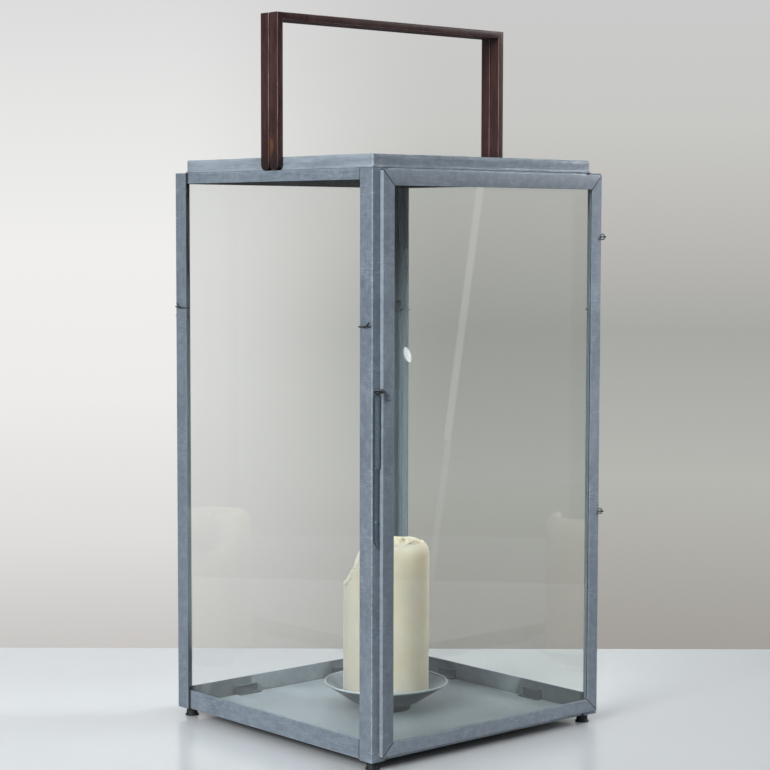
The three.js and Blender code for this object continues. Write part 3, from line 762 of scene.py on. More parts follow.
@dataclass(frozen=True)
class BronzedBar:
    """Flat steel bar under a dark red-brown lacquer: satin, with pinkish highlights painted along its edges.

    The mesh carries how near each point is to an edge of the bar, where highlights are painted. Low on
    the left leg the lacquer has worn through to orange-brown along the gap between the bars; the legs'
    feet are black.
    """

    lacquer: str = "#301a1a"
    cloud: str = "#3f2725"
    streak: str = "#5a4341"
    # Colour of the highlights painted along the bar's edges.
    edge: str = "#a4857e"
    worn: str = "#6a4522"
    dark: str = "#1a1110"
    squeeze: float = 0.32
    patch: tuple[float, float, float] = (-138.8, 2.2, 171.2)
    patch_radius: float = 1.8
    patch_end: float = 3.6
    patch_ragged: float = 3.5
    foot: float = 516.0
    foot_end: float = 538.0

    def make(self, name: str) -> Material:
        """Makes the finish; its worn patch is an ellipse, round once the bar is squeezed along Z.

        Args:
            name: the material's name.

        Returns:
            The material.
        """
        mix = Recipe(name, self.lacquer)
        clouds = mix.between(mix.noise(16, 4, 0.62, (1, 1, 0.3)), 0.38, 0.64)
        mix.lay(self.cloud, clouds)
        mix.lay(self.streak, mix.between(mix.noise(2.4, 3, 0.6, (1, 1, 0.1)), 0.42, 0.64), 0.25)
        broken = mix.between(mix.noise(9, 4, 0.65, (1, 1, 0.3)), 0.40, 0.60)
        broken = mix.between(broken, 0, 1, 0.22, 0.75)
        # Painted highlights along the edges, broken up by noise.
        mix.lay(self.edge, mix.between(mix.attribute("rubbed"), 0.30, 0.85), broken)
        squeezed = mix.stretched((1, 1, self.squeeze))
        patch = [place * MM for place in self.patch]
        reach = mix.node("ShaderNodeVectorMath", {"operation": "DISTANCE"}, i0=squeezed, i1=patch)
        depth = self.patch_ragged * MM
        ragged = mix.between(mix.noise(5, 4, 0.7, (1, 1, 0.4)), 0.3, 0.7, -depth, depth)
        apart = mix.math("ADD", reach.outputs["Value"], ragged)
        mix.lay(self.worn, mix.between(apart, self.patch_radius * MM, self.patch_end * MM, 1.0, 0.0), 0.75)
        mix.lay(self.dark, mix.between(mix.axis("Z"), self.foot * MM, self.foot_end * MM, 0.85, 0.0))
        shine = mix.math("MAXIMUM", mix.between(clouds, 0, 1, 0.27, 0.38), mix.product(mix.below(), 0.85))
        return mix.finished(Metallic=0.0, Roughness=shine, Specular_IOR_Level=0.32,
                            Normal=mix.bump(mix.noise(14, 3, 0.5), 0.06, 0.4))


@dataclass(frozen=True)
class FloatGlass:
    """Clear soda-lime float glass: smooth, faintly green, dark green at its cut edges.

    Lamps are let straight through, so that what the panes shut in is lit as it would be.
    """

    tint: str = "#fdfefd"

    def make(self, name: str) -> Material:
        """Makes the finish.

        Args:
            name: the material's name.

        Returns:
            The material.
        """
        mix = Recipe(name, self.tint)
        glass = mix.node("ShaderNodeBsdfPrincipled", None, Base_Color=mix.tone, Roughness=0.0, IOR=1.5,
                         Transmission_Weight=1.0)
        clear = mix.node("ShaderNodeBsdfTransparent", None, Color=mix.tone)
        lamp = mix.node("ShaderNodeLightPath").outputs["Is Shadow Ray"]
        blend = mix.node("ShaderNodeMixShader", None, i0=lamp, i1=glass.outputs[0], i2=clear.outputs[0])
        mix.tree.links.new(blend.outputs[0], mix.output.inputs[0])
        return mix.material


@dataclass(frozen=True)
class MouldedRubber:
    """Black natural rubber from a mould: matt, with a faint bloom."""

    base: str = "#17181b"
    bloom: str = "#34363a"

    def make(self, name: str) -> Material:
        """Makes the finish.

        Args:
            name: the material's name.

        Returns:
            The material.
        """
        mix = Recipe(name, self.base)
        mix.lay(self.bloom, mix.between(mix.noise(5, 3, 0.6), 0.4, 0.7), 0.4)
        return mix.finished(Roughness=0.62, Normal=mix.bump(mix.noise(0.9, 2), 0.03, 0.3))


@dataclass(frozen=True)
class SpunZinc:
    """Thin zinc sheet spun over a form: fine rings, a grey patina, a painted rim highlight and painted shade
    below.
    """

    rim_radius: float
    centre_y: float
    base: str = "#6f7980"
    cloud: str = "#8b959a"
    # Colour of the painted shade on the faces that look down.
    underside_shade: str = "#444d51"
    # Colour of the painted highlight on the rim.
    bright: str = "#b4bec4"

    def make(self, name: str) -> Material:
        """Makes the finish.

        Args:
            name: the material's name.

        Returns:
            The material.
        """
        mix = Recipe(name, self.base)
        centred = mix.node("ShaderNodeVectorMath", {"operation": "MULTIPLY_ADD"}, i0=mix.place, i1=(1, 1, 0),
                           i2=(0, -self.centre_y * MM, 0)).outputs[0]
        radius = mix.node("ShaderNodeVectorMath", {"operation": "LENGTH"}, i0=centred).outputs["Value"]
        rings = mix.node("ShaderNodeTexNoise", {"noise_dimensions": "1D"}, W=radius, Scale=900.0, Detail=3.0)
        rubbed = mix.between(radius, (self.rim_radius - 1.9) * MM, (self.rim_radius - 1.0) * MM)
        mix.lay(self.cloud, mix.between(mix.noise(22, 3, 0.6), 0.38, 0.66))
        # Painted shade on the faces that look down.
        mix.lay(self.underside_shade, mix.below(-0.2, 0.2))
        # Painted highlight on the rolled rim.
        mix.lay(self.bright, rubbed, 0.8)
        return mix.finished(Metallic=0.5, Roughness=mix.between(rubbed, 0, 1, 0.44, 0.34),
                            Normal=mix.bump(rings.outputs["Fac"], 0.03, 0.35))


@dataclass(frozen=True)
class CandleWax:
    """Ivory paraffin and stearin wax, poured: translucent, satin, sooty round the burnt pool.

    The mesh carries sooty: how sooty its rim is. The side towards -X is painted darker as shade.
    """

    body: str = "#bdbbac"
    warm: str = "#b6b19e"
    soot: str = "#55503c"
    # Colour of the painted shade on the side towards -X.
    shaded_side: str = "#98968a"

    def make(self, name: str) -> Material:
        """Makes the finish.

        Args:
            name: the material's name.

        Returns:
            The material.
        """
        mix = Recipe(name, self.body)
        clouds = mix.between(mix.noise(32, 3, 0.55), 0.38, 0.66)
        mix.lay(self.warm, clouds)
        # Painted shade on the side towards -X.
        mix.lay(self.shaded_side, mix.between(mix.looking("X"), -0.55, -0.92, 0.0, 0.95))
        flakes = mix.between(mix.noise(4.5, 4, 0.65), 0.40, 0.58, 0.15, 1.0)
        mix.lay(self.soot, mix.attribute("sooty"), flakes)
        return mix.finished(Roughness=mix.between(clouds, 0, 1, 0.44, 0.56), IOR=1.44, Subsurface_Weight=0.8,
                            Subsurface_Radius=(1.0, 0.8, 0.5), Subsurface_Scale=0.06,
                            Normal=mix.bump(mix.noise(12, 3, 0.5), 0.25, 0.5))


@dataclass(frozen=True)
class BurntCotton:
    """Braided cotton wick, charred by the flame: black and dry."""

    char: str = "#1d1916"
    ash: str = "#5a534b"

    def make(self, name: str) -> Material:
        """Makes the finish.

        Args:
            name: the material's name.

        Returns:
            The material.
        """
        mix = Recipe(name, self.char)
        mix.lay(self.ash, mix.between(mix.noise(0.8, 3), 0.5, 0.7), 0.5)
        return mix.finished(Roughness=0.9, Normal=mix.bump(mix.noise(0.5, 2), 0.1, 0.6))


@dataclass(frozen=True)
class LacqueredTable:
    """White lacquered board: smooth and glossy, so that it mirrors what stands on it softly."""

    base: str = "#ced2d5"

    def make(self, name: str) -> Material:
        """Makes the finish under a name; one shader does it."""
        return Recipe(name, self.base).finished(Roughness=0.22, Coat_Weight=0.4, Coat_Roughness=0.1)


# ------------------------------------------------------------------ the lantern's sizes
@dataclass
class Plan:
    """Sizes that several sub-assemblies share, read from the model's own nodes."""

    half: float = 140.0
    lid_inset: float = 7.6
    post_sheet: float = 1.5
    post_foot: float = field(init=False)
    post_top: float = field(init=False)
    centre: tuple[float, float] = field(init=False)
    lid_top: float = field(init=False)
    floor_top: float = field(init=False)

    def __post_init__(self) -> None:
        """Reads the places of the floor, a post and the lid."""
        self.post_foot, self.post_top = (corner[2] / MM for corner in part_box("post_latch_side"))
        low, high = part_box("floor_plate")
        self.centre = (0.0, (low[1] + high[1]) / 2 / MM)
        self.floor_top = high[2] / MM
        self.lid_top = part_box("lid")[1][2] / MM

    def onto(self, side: Side) -> Callable[[Array], Array]:
        """A function that carries points drawn for the front onto another side."""
        return lambda points: turned_about_z(points, side.value) + np.array([*self.centre, 0.0])


# ------------------------------------------------------------------ sheet-metal body
@dataclass
class CornerPosts:
    """Four posts, each one strip of zinc folded lengthwise to an L."""

    plan: Plan
    flange: float = 16.0
    fold: float = 1.2
    edge: float = 0.3
    straight_to: float = 2.6
    unevenness: float = 0.07
    wave: float = 210.0
    steps: int = 90
    nodes: tuple[str, ...] = ("post_latch_side", "post_hinge_side", "post_rear_right", "post_rear_left")

    def place(self, across: Array, deep: Array, along: Array) -> Array:
        """Stands the L up at the corner (-half, -half); a slight ripple runs up its outer faces.

        Args:
            across: the section's coordinate along X.
            deep: the same along Y.
            along: height.

        Returns:
            Model points.
        """
        sway = np.abs(ripple(along, self.unevenness, self.wave)) * (across + deep > self.straight_to)
        x, y = (part + sway * (part < 1) - self.plan.half for part in (across, deep))
        return xyz(x, y, along)

    def build(self) -> None:
        """Makes the posts, with highlights painted on folds and edges and shade painted on their inner faces.
        """
        a, t, edge = self.flange, self.plan.post_sheet, self.edge
        outline = eased([(a, 0), (0, 0), (0, a), (t, a), (t, t), (a, t)],
                        [edge, self.fold, edge, edge, 0.4, edge], 7)
        # Painted highlights on the fold and the free edges.
        ends = rubbed(outline, (a, 0), edge) + rubbed(outline, (0, a), edge)
        worn = np.tile(0.5 * rubbed(outline, (0, 0), self.fold) + 0.4 * ends, self.steps + 1)
        post = member(outline, self.plan.post_foot, self.plan.post_top, self.steps, self.place)
        post = post.marked("worn", worn)
        finish = PatinatedZinc().make("patinated_zinc_posts")
        # Painted shade on the inner faces.
        shaded_side = {Facing.INWARD: ShadedInnerZinc().make("shaded_zinc_post_insides")}
        for node, side in zip(self.nodes, Side):
            make_piece(node, "folded", post.moved(self.plan.onto(side)), finish, linings=shaded_side)


@dataclass
class Rails:
    """Folded strips between the posts: four round the floor and four under the lid.

    The strip under the door is a lower sill, so that the door clears it.
    """

    plan: Plan
    sheet: float = 1.2
    ledge: float = 16.0
    bottom_height: float = 18.0
    sill_height: float = 14.0
    top_height: float = 9.8
    post_edge: float = 124.0
    end_gap: float = 1.0
    mitre_gap: float = 0.2
    # Painted shade next to each post: where it begins from the post's edge, and how far it fades.
    painted_shade: float = 3.0
    painted_shade_fades_over: float = 0.8
    fold: float = 1.5
    edge: float = 0.3
    bow: float = 0.12
    wave: float = 170.0

    def cuts(self) -> Array:
        """Where the strip is divided: evenly, and twice more close to each post's edge.

        Returns:
            Shares of its length, from 0 to 1.
        """
        whole = 2 * (self.plan.half - self.plan.post_sheet - self.end_gap)
        joint = whole / 2 - self.post_edge + np.array([self.painted_shade - self.painted_shade_fades_over, self.painted_shade])
        return np.sort(np.concatenate([np.linspace(0, 1, 47), joint / whole, 1 - joint / whole]))

    def rail(self, height: float, level: float, up: float) -> Surface:
        """One rail on the front side: an L whose ledge is cut at 45 degrees at both ends.

        Args:
            height: height of the upright leg.
            level: height of the ledge's outer face.
            up: 1 where the leg stands on the ledge and -1 where it hangs from it.

        Returns:
            The rail, with highlights painted on its edges and shade painted next to the posts.
        """
        t, edge = self.sheet, self.edge
        outline = eased([(self.ledge, 0), (0, 0), (0, height), (t, height), (t, t), (self.ledge, t)],
                        [edge, self.fold, edge, edge, 0.5, edge], 6)
        face = self.plan.half - self.plan.post_sheet
        reach = np.minimum(face - self.end_gap, face - outline[:, 0] - self.mitre_gap)

        def place(across: Array, deep: Array, along: Array) -> Array:
            """Lays the strip along X, the upright leg towards the front."""
            bow = ripple(along, self.bow, self.wave, level) * (deep > 3)
            return xyz(along, across - face + np.maximum(bow, 0), level + up * deep)

        cuts = self.cuts()
        # Painted highlight along the lower fold, strongest on the bottom rails.
        highlight_share = 0.9 if up > 0 else 0.35
        edges = highlight_share * rubbed(outline, (0, 0), self.fold) + 0.6 * rubbed(outline, (0, height), edge)
        surface = member(outline, -reach, reach, cuts, place)
        # Painted shade where the rail meets a post's flange.
        painted_shade = np.abs(surface.points[:, 0]) - self.post_edge + self.painted_shade
        painted_shade = np.clip(painted_shade / self.painted_shade_fades_over, 0, 1)
        return surface.marked("worn", np.where(painted_shade > 0, -painted_shade, np.tile(edges, len(cuts))))

    def build(self) -> None:
        """Makes the eight rails and dresses the floor."""
        along, across = (PatinatedZinc(grain=grain, streaked=0.3).make(f"patinated_zinc_rails_{name}")
                         for name, grain in (("along", Grain.ACROSS_Y), ("across", Grain.ACROSS_X)))
        # Dark lining for faces looking down and the top rails' inner faces: painted shade, with soot over the
        # flame.
        soot = SootAndShadeZinc().make("soot_and_shade_rail_linings")
        # A darker copy of the patina for the bottom rails' inner faces: painted shade.
        inner_shade = PatinatedZinc(base="#6b767c", pale="#7e8990", deep="#5c666d").make("shaded_zinc_rail_insides")
        for side in Side:
            finish = across if side in (Side.FRONT, Side.REAR) else along
            height = self.sill_height if side is Side.FRONT else self.bottom_height
            for place, inside, shape in (("bottom", inner_shade, (height, self.plan.post_foot, 1)),
                                         ("top", soot, (self.top_height, self.plan.post_top, -1))):
                rail = self.rail(*shape).moved(self.plan.onto(side))
                make_piece(f"{place}_rail_{side.name.lower()}", "folded", rail, finish,
                           linings={Facing.DOWN: soot, Facing.INWARD: inside})
        dress("floor_plate", FloorZinc(self.plan).make("patinated_zinc_floor"))


@dataclass
class Lid:
    """A shallow tray turned upside down: a flat top, a soft edge and a skirt with a soldered lip.

    Its section is drawn from the plain middle outwards, over the border and the skirt.
    """

    plan: Plan
    sheet: float = 1.2
    corner: float = 2.2
    edge: float = 1.2
    plain: float = 60.0
    border: float = 12.0
    lip: float = 0.5
    lip_round: tuple[float, float] = (0.55, 0.75)
    lip_swell: float = 0.35
    corner_swell: float = 0.7
    sag: float = 0.12
    # Painted light on the side towards -X, and painted shade on faces that look down.
    finish: PatinatedZinc = PatinatedZinc(base="#7c8792", pale="#9ca8b2", deep="#646f7a", grain=Grain.LEVEL,
                                          sooty=0.9, streaked=0.3, lit_side_paler=0.95)

    def profile(self) -> Array:
        """The tray's section: over the top, down the skirt, round its lip and back inside.

        Returns:
            Points of (distance out from the skirt, height).
        """
        top, foot, edge, t = self.plan.lid_top, self.plan.post_top, self.edge, self.sheet
        wide, tall = self.lip_round
        return np.concatenate([
            [(-self.plain, top), (-self.border, top)], arc((-edge, top - edge), (edge, edge), 90, 0, 7),
            [(0.0, top - 4.0), (0.0, foot + 3.2), (0.0, foot + 1.9)],
            arc((self.lip - wide, foot + tall), self.lip_round, 70, -90, 6),
            [(-t, foot), (-t, foot + 5.0), (-t, top - t - 1.0), (-t - 1.0, top - t), (-self.plain, top - t)]])

    def build(self) -> None:
        """Makes the lid as rounded squares carried down its profile.

        The lip swells where the solder pooled: a sum of sines in the angle round the lid,
        largest near the corners. Highlights are painted on the top edge and along the lip, where the
        solder is also filed, strongest at the corners.
        """
        top, foot = self.plan.lid_top, self.plan.post_top
        reach = self.plan.half - self.plan.lid_inset
        profile = self.profile()
        ring = rounded_square(reach + profile[:, 0], np.clip(self.corner + profile[:, 0], 0.6, None), 60, 7)
        height = np.broadcast_to(profile[:, None, 1], ring.shape[:2])
        angle = np.arctan2(ring[..., 1], ring[..., 0])
        swell = 0.5 + 0.3 * np.sin(9 * angle + 0.7) + 0.2 * np.sin(23 * angle)
        at_corner = np.abs(np.sin(2 * angle)) ** 60
        lips = np.exp(-((height - foot - 0.8) / 0.9) ** 2) * (profile[:, None, 0] > -0.6)
        push = 1 + (lips * (self.lip_swell * swell + self.corner_swell * at_corner)) / reach
        wave = (ripple(np.degrees(angle) * 4, 0.10, 160.0) - self.sag) * (height > top - 1.0)
        middle = (0.0, self.plan.centre[1])
        surface = ringed(xyz(ring[..., 0] * push, ring[..., 1] * push + middle[1], height + wave),
                         (*middle, top - 0.1), (*middle, top - self.sheet - 0.1))
        # Painted highlights on the top edge's fold and along the lip.
        fold = np.exp(-(np.hypot(profile[:, 0] + 0.35, profile[:, 1] - top + 0.35) / 0.4) ** 2)[:, None]
        lip_glints = np.clip(np.sin(37 * angle) + np.sin(61 * angle + 1.0) - 0.6, 0, 1) * 0.3
        filed_and_lit = at_corner * np.clip(np.sin(97 * angle) + np.sin(151 * angle + 1.0) + 0.3, 0, 1)
        worn = np.clip(0.4 * fold + lips * (filed_and_lit + lip_glints), 0, 1).reshape(-1)
        # Dark lining under the lid: soot over the flame, and painted shade.
        soot = SootAndShadeZinc().make("soot_and_shade_lid_underside")
        make_piece("lid", "tray", surface.marked("worn", np.append(worn, [0.0, 0.0])),
                   self.finish.make("patinated_zinc_lid"), crease=40,
                   linings={Facing.DOWN: soot, Facing.INWARD: soot})


@dataclass
class Handle:
    """Two flat bars bent square, side by side, screwed on from inside the lid's skirt."""

    plan: Plan
    width: float = 11.5
    thickness: float = 6.4
    gap: float = 1.1
    bevel: float = 0.75
    end_radius: float = 5.0
    end_gap: float = 0.3
    top: float = field(init=False)

    def __post_init__(self) -> None:
        """Reads the height of the bars from the model."""
        self.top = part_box("handle_bar_front")[1][2] / MM

    def path(self) -> tuple[Array, Array]:
        """The rings of a leg, close together round its end and then evenly spaced.

        Returns:
            Each ring's height, and how much is off its half width there.
        """
        low, r = self.plan.post_top + self.end_gap, self.end_radius
        rise = r * (1 - np.cos(np.radians(np.linspace(8, 90, 7))))
        narrow = r - np.sqrt(np.clip(r ** 2 - (r - rise) ** 2, 0, None))
        climb = np.linspace(low + r + 6, self.top - self.thickness - 8, 16)
        return np.concatenate([low + rise, climb]), np.concatenate([narrow, np.zeros(len(climb))])

    def bar(self, centre_y: float) -> Surface:
        """One bar, whose section has u across its width and v outwards through its thickness.

        Rings climb the left leg, cross the top and go down the right leg. At each corner one
        ring lies on the mitre plane, where sideways and upwards reach are equal.

        Args:
            centre_y: middle of the bar's width.

        Returns:
            The bar, marked near its edges for painted highlights.
        """
        w, t = self.width / 2, self.thickness
        u, v = eased([(-w, 0), (w, 0), (w, t), (-w, t)], self.bevel, 5).T
        reach = self.plan.half - self.plan.lid_inset
        level, narrow = self.path()
        left = xyz(-reach - v, u * (1 - narrow[:, None] / w), level[:, None])
        right = left[::-1] * np.array([-1.0, 1.0, 1.0])
        flat = xyz((reach + v) * np.linspace(-1, 1, 27)[:, None], u, self.top - t + v)
        rings = np.concatenate([left, flat, right])
        rings[..., 1] += centre_y
        # Where highlights are painted: near the bar's edges.
        near_edge = np.exp(-(((np.abs(u) - w) ** 2 + (np.abs(v - t / 2) - t / 2) ** 2) / 0.45 ** 2))
        return ringed(rings).marked("rubbed", np.tile(near_edge / near_edge.max(), len(rings)))

    def build(self) -> None:
        """Makes both bars and dresses their screws."""
        finish = BronzedBar().make("bronzed_steel_bar")
        screws = BlackenedSteel().make("blackened_steel_screws")
        for place, way in (("front", -1), ("rear", 1)):
            bar = self.bar(self.plan.centre[1] + way * (self.width + self.gap) / 2)
            make_piece(f"handle_bar_{place}", "bent", bar, finish, crease=40)
            for side in ("left", "right"):
                dress(f"handle_screw_{side}_{place}", screws)


# ------------------------------------------------------------------ glass and what holds it
@dataclass
class Glazing:
    """The fixed panes, the bent tabs at their foot and the split pins through the posts."""

    plan: Plan
    clip_width: float = 25.0
    clip_height: float = 9.0
    clip_foot: float = 6.0
    clip_lip: float = 2.0
    clip_sheet: float = 1.0
    clip_spacing: float = 120.0
    clip_steps: int = 8
    curl_height: float = 2.5
    curl_inset: float = 2.2
    pane_back: float = 135.3
    slip: float = 0.2
    pin_gap: float = 0.3
    pin_inset: float = 8.3
    pin_height: float = 375.0
    pin_stagger: float = 8.4
    pin_radius: float = 0.9
    leg_radius: float = 0.75
    leg_length: float = 7.6
    leg_rise: float = 0.8
    burr_length: float = 5.4
    burr_rise: float = 4.2
    eye_radius: float = 2.2
    eye_wire: float = 0.8

    def clip(self, x: float) -> Surface:
        """A tab for the front side: a foot, an upright and a top curled in over the floor.

        Args:
            x: middle of the tab along the side.

        Returns:
            The tab, with a highlight painted on its curl.
        """
        t, top = self.clip_sheet, self.clip_height
        shape = [(0, top), (0, 0), (self.clip_foot + t, 0), (self.clip_foot + t, t), (t, t), (t, top - t),
                 (t + self.clip_lip, top - t), (t + self.clip_lip, top)]
        outline = eased(shape, [1.4, 1.0, 0.2, 0.2, 0.5, 0.3, 0.3, 0.4], 6)
        ease = np.clip((outline[:, 1] - top + self.curl_height) / self.curl_height, 0, 1) ** 2
        reach = self.clip_width / 2 - self.curl_inset * ease
        face = -self.pane_back + self.slip

        def place(across: Array, deep: Array, along: Array) -> Array:
            """Stands the tab on the floor against the pane."""
            return xyz(x + along, face + across, self.plan.floor_top + deep)

        # Painted highlight on the curled top.
        curl_highlight = np.clip((outline[:, 1] - top + t + 0.3) / t, 0, 1)
        return member(outline, -reach, reach, self.clip_steps, place).marked(
            "worn", np.tile(0.6 * curl_highlight, self.clip_steps + 1))

    def pin(self, side: int) -> Surface:
        """A split pin: two legs spread along the outside, a shank, and an eye over the glass.

        The leg over the pane ends in a snipped knob, and a burr lifts off the leg at the corner.

        Args:
            side: -1 at the left edge of the side and 1 at the right.

        Returns:
            Its surface, drawn for the front side.
        """
        x = side * (self.plan.half - self.pin_inset)
        z = self.plan.post_foot + self.pin_height - side * self.pin_stagger / 2
        outside = -self.plan.half - self.pin_gap - self.leg_radius
        eye_y = -self.pane_back + self.pin_gap + self.eye_wire + self.eye_radius
        run = np.linspace(0, 1, 11)
        plain, snipped = 1 - 0.35 * run, 1 - 0.4 * np.sin(run * math.pi * 0.85) ** 2
        legs = []
        for way, rise, length, size in ((-side, 0.0, self.leg_length, snipped),
                                        (side, self.leg_rise, self.leg_length, plain),
                                        (side, self.burr_rise, self.burr_length, plain * 0.8)):
            radius = self.leg_radius * size
            out = outside + (self.leg_radius - radius) * 0.8
            legs.append(wire(xyz(x + way * run * length, out, z + rise * run ** 1.3), ALONG_Y, radius))
        shank = xyz(x, np.linspace(outside, eye_y - self.eye_radius, 5), z)
        shank = wire(shank, ALONG_Z, self.pin_radius)
        lap = math.degrees(0.2)
        ring = xyz(*arc((x, eye_y), (self.eye_radius, self.eye_radius), -90 - lap, 270 + lap, 30).T, z)
        return legs[0].joined(*legs[1:], shank, wire(ring, ALONG_Z, self.eye_wire))

    def build(self) -> None:
        """Dresses the panes and makes their tabs and pins."""
        glass = FloatGlass().make("float_glass_fixed")
        # Darker than the rails, with a painted highlight on the curl.
        tabs = PatinatedZinc(base="#343c40", pale="#475156", deep="#2d3438", rubbed="#59636a", sooty=0.5)
        tabs = tabs.make("dark_zinc_tabs")
        pins = BlackenedSteel(base="#2f3033", pale="#56565a").make("blackened_steel_pins")
        for side in (Side.RIGHT, Side.REAR, Side.LEFT):
            name, onto = side.name.lower(), self.plan.onto(side)
            dress(f"glass_pane_{name}", glass)
            for mark, place in (("a", -1), ("b", 1)):
                clip = self.clip(place * self.clip_spacing / 2).moved(onto)
                pin = self.pin(place).moved(onto)
                make_piece(f"pane_clip_{name}_{mark}", "bent", clip, tabs)
                make_piece(f"glazing_pin_{name}_{mark}", "spread", pin, pins)


# ------------------------------------------------------------------ door
class DoorEnd(Enum):
    """Which end of the door a rail is at."""

    LOW = -1
    HIGH = 1


@dataclass
class Door:
    """A glazed frame of four channels folded from sheet and mitred at the corners."""

    plan: Plan
    left: float = -131.7
    right: float = 135.6
    bottom: float = 12.1
    top: float = 510.4
    back: float = -140.3
    depth: float = 4.3
    stile: float = 12.6
    rail: float = 13.2
    low_rail: float = 11.7
    sheet: float = 1.0
    fold: float = 0.6
    edge: float = 0.35
    seam: float = 0.35
    # Strength of the highlight painted on the stiles' outer edge faces.
    edge_face_highlight: float = 0.5
    bow: float = 0.07

    def outline(self, width: float) -> Array:
        """The channel's section: u inwards from the outer edge, v from the back to the front.

        Args:
            width: how far it reaches inwards.

        Returns:
            The points (u, v).
        """
        d, t = self.depth, self.sheet
        corners = [(width, 0), (0, 0), (0, d), (width, d), (width, d - t), (t, d - t), (t, t), (width, t)]
        return eased(corners, [0.25, 0.25, self.fold, self.edge, 0.25, 0.2, 0.2, 0.25], 6)

    def channel(self, outline: Array, start: Array, end: Array, steps: int, highlight_share: float,
                place: Callable[[Array, Array, Array], Array]) -> Surface:
        """A channel divided evenly, and once more half a millimetre from each end.

        Args:
            outline: its section.
            start: where it starts, for each point of the section.
            end: where it ends.
            steps: how many parts it has.
            highlight_share: how strong the highlight painted on its outer edge face is.
            place: turns u, v and the distance along it into model points.

        Returns:
            The channel, with highlights painted on its folds and shade painted at the mitres.
        """
        length = end.max() - start.min() + 2 * self.seam
        cuts = np.sort(np.append(np.linspace(0, 1, steps + 1), [0.5 / length, 1 - 0.5 / length]))
        # Painted highlights on the folds and the outer edge face; painted shade in the mitre seams.
        folds = rubbed(outline, (0, self.depth), self.fold)
        lips = rubbed(outline, (outline[:, 0].max(), self.depth), self.edge)
        worn = np.tile(np.where(outline[:, 0] < 0.01, highlight_share, 0.4 * folds + 0.4 * lips), (len(cuts), 1))
        worn[[0, -1]] = -1.0
        return member(outline, start, end, cuts, place).marked("worn", worn.reshape(-1))

    def stile_piece(self, side: int) -> Surface:
        """An upright channel; its ends are cut along the line from outer to inner corner.

        Args:
            side: -1 at the latch and 1 at the hinges.

        Returns:
            The stile.
        """
        outline = self.outline(self.stile)
        low, high = (outline[:, 0] * width / self.stile + self.seam for width in (self.low_rail, self.rail))
        edge = self.left if side < 0 else self.right

        def place(across: Array, deep: Array, along: Array) -> Array:
            """Stands the channel up; its front face is pressed in a little here and there."""
            bow = np.abs(ripple(along, self.bow, 150.0, side)) * (deep > self.depth / 2)
            return xyz(edge - side * across, self.back + self.plan.centre[1] - deep + bow, along)

        return self.channel(outline, self.bottom + low, self.top - high, 96, self.edge_face_highlight, place)

    def rail_piece(self, end: DoorEnd) -> Surface:
        """A level channel, mitred to the stiles.

        Args:
            end: LOW for the bottom of the door and HIGH for its top.

        Returns:
            The rail.
        """
        edge, width = (self.bottom, self.low_rail) if end is DoorEnd.LOW else (self.top, self.rail)
        outline = self.outline(width)
        slant = outline[:, 0] * self.stile / width + self.seam

        def place(across: Array, deep: Array, along: Array) -> Array:
            """Lays the channel along X."""
            bow = np.abs(ripple(along, self.bow, 130.0, end.value)) * (deep > self.depth / 2)
            return xyz(along, self.back + self.plan.centre[1] - deep + bow, edge - end.value * across)

        return self.channel(outline, self.left + slant, self.right - slant, 56, 0.0, place)

    def build(self) -> None:
        """Makes the four channels and dresses the pane."""
        upright = PatinatedZinc(base="#7b8691", pale="#98a4ae", deep="#636d79", steady_highlight=0.75)
        # Painted shade: the latch stile darkens towards the bottom.
        at_latch = replace(upright, low_shade=0.26).make("patinated_zinc_latch_stile")
        at_hinge = upright.make("patinated_zinc_hinge_stile")
        level = PatinatedZinc(base="#7e8892", pale="#9ba6b0", deep="#69727c", grain=Grain.ACROSS_X)
        level = level.make("patinated_zinc_door_rails")
        for name, surface, finish in (("stile_latch_side", self.stile_piece(-1), at_latch),
                                      ("stile_hinge_side", self.stile_piece(1), at_hinge),
                                      ("rail_top", self.rail_piece(DoorEnd.HIGH), level),
                                      ("rail_bottom", self.rail_piece(DoorEnd.LOW), level)):
            make_piece(f"door_{name}", "channel", surface, finish, "door")
        dress("door_glass", FloatGlass("#f3f5f3").make("float_glass_door"))


@dataclass
class Hinges:
    """Two wire staples through the post, each with a wire eye from the door round it."""

    plan: Plan
    x: float = 136.9
    y: float = -146.9
    upper: float = 454.0
    lower: float = 200.0
    wire_radius: float = 0.6
    eye_radius: float = 1.5
    half_height: float = 2.2
    clinch: float = 3.0
    inside: float = -137.6
    shank_end: float = -143.8

    def staple(self, height: float) -> Surface:
        """A staple whose upright wire is the pivot, clinched inside the post.

        Args:
            height: the middle of the pivot.

        Returns:
            The staple.
        """
        top, bottom = height + self.half_height, height - self.half_height
        depth = [self.inside, self.inside, self.y, self.y, self.inside, self.inside]
        level = [top + self.clinch, top, top, bottom, bottom, bottom - self.clinch]
        return wire(eased(xyz(self.x, depth, level), 0.9, 6, False), ALONG_X, self.wire_radius)

    def eye(self, height: float) -> Surface:
        """A wire bent to an eye round the pivot, its tail running into the door.

        Args:
            height: the level of the eye.

        Returns:
            The eye.
        """
        loop = xyz(*arc((self.x, self.y), (self.eye_radius, self.eye_radius), -205, 135, 34).T, height)
        run = self.shank_end - loop[-1, 1]
        tail = loop[-1] + np.linspace(0.15, 1, 5)[:, None] * np.array([-run, run, 0.0])
        return wire(np.concatenate([loop, tail]), ALONG_Z, self.wire_radius)

    def build(self) -> None:
        """Makes both hinges."""
        coated = BlackenedSteel(base="#5d656c", pale="#8a929a").make("zinc_coated_wire_staples")
        dark = BlackenedSteel(base="#2b2a2c", pale="#5d5753").make("blackened_steel_hinge_eyes")
        onto = self.plan.onto(Side.FRONT)
        for name, height in (("upper", self.upper), ("lower", self.lower)):
            make_piece(f"hinge_staple_{name}", "wire", self.staple(height).moved(onto), coated)
            make_piece(f"hinge_eye_{name}", "wire", self.eye(height).moved(onto), dark, "door")


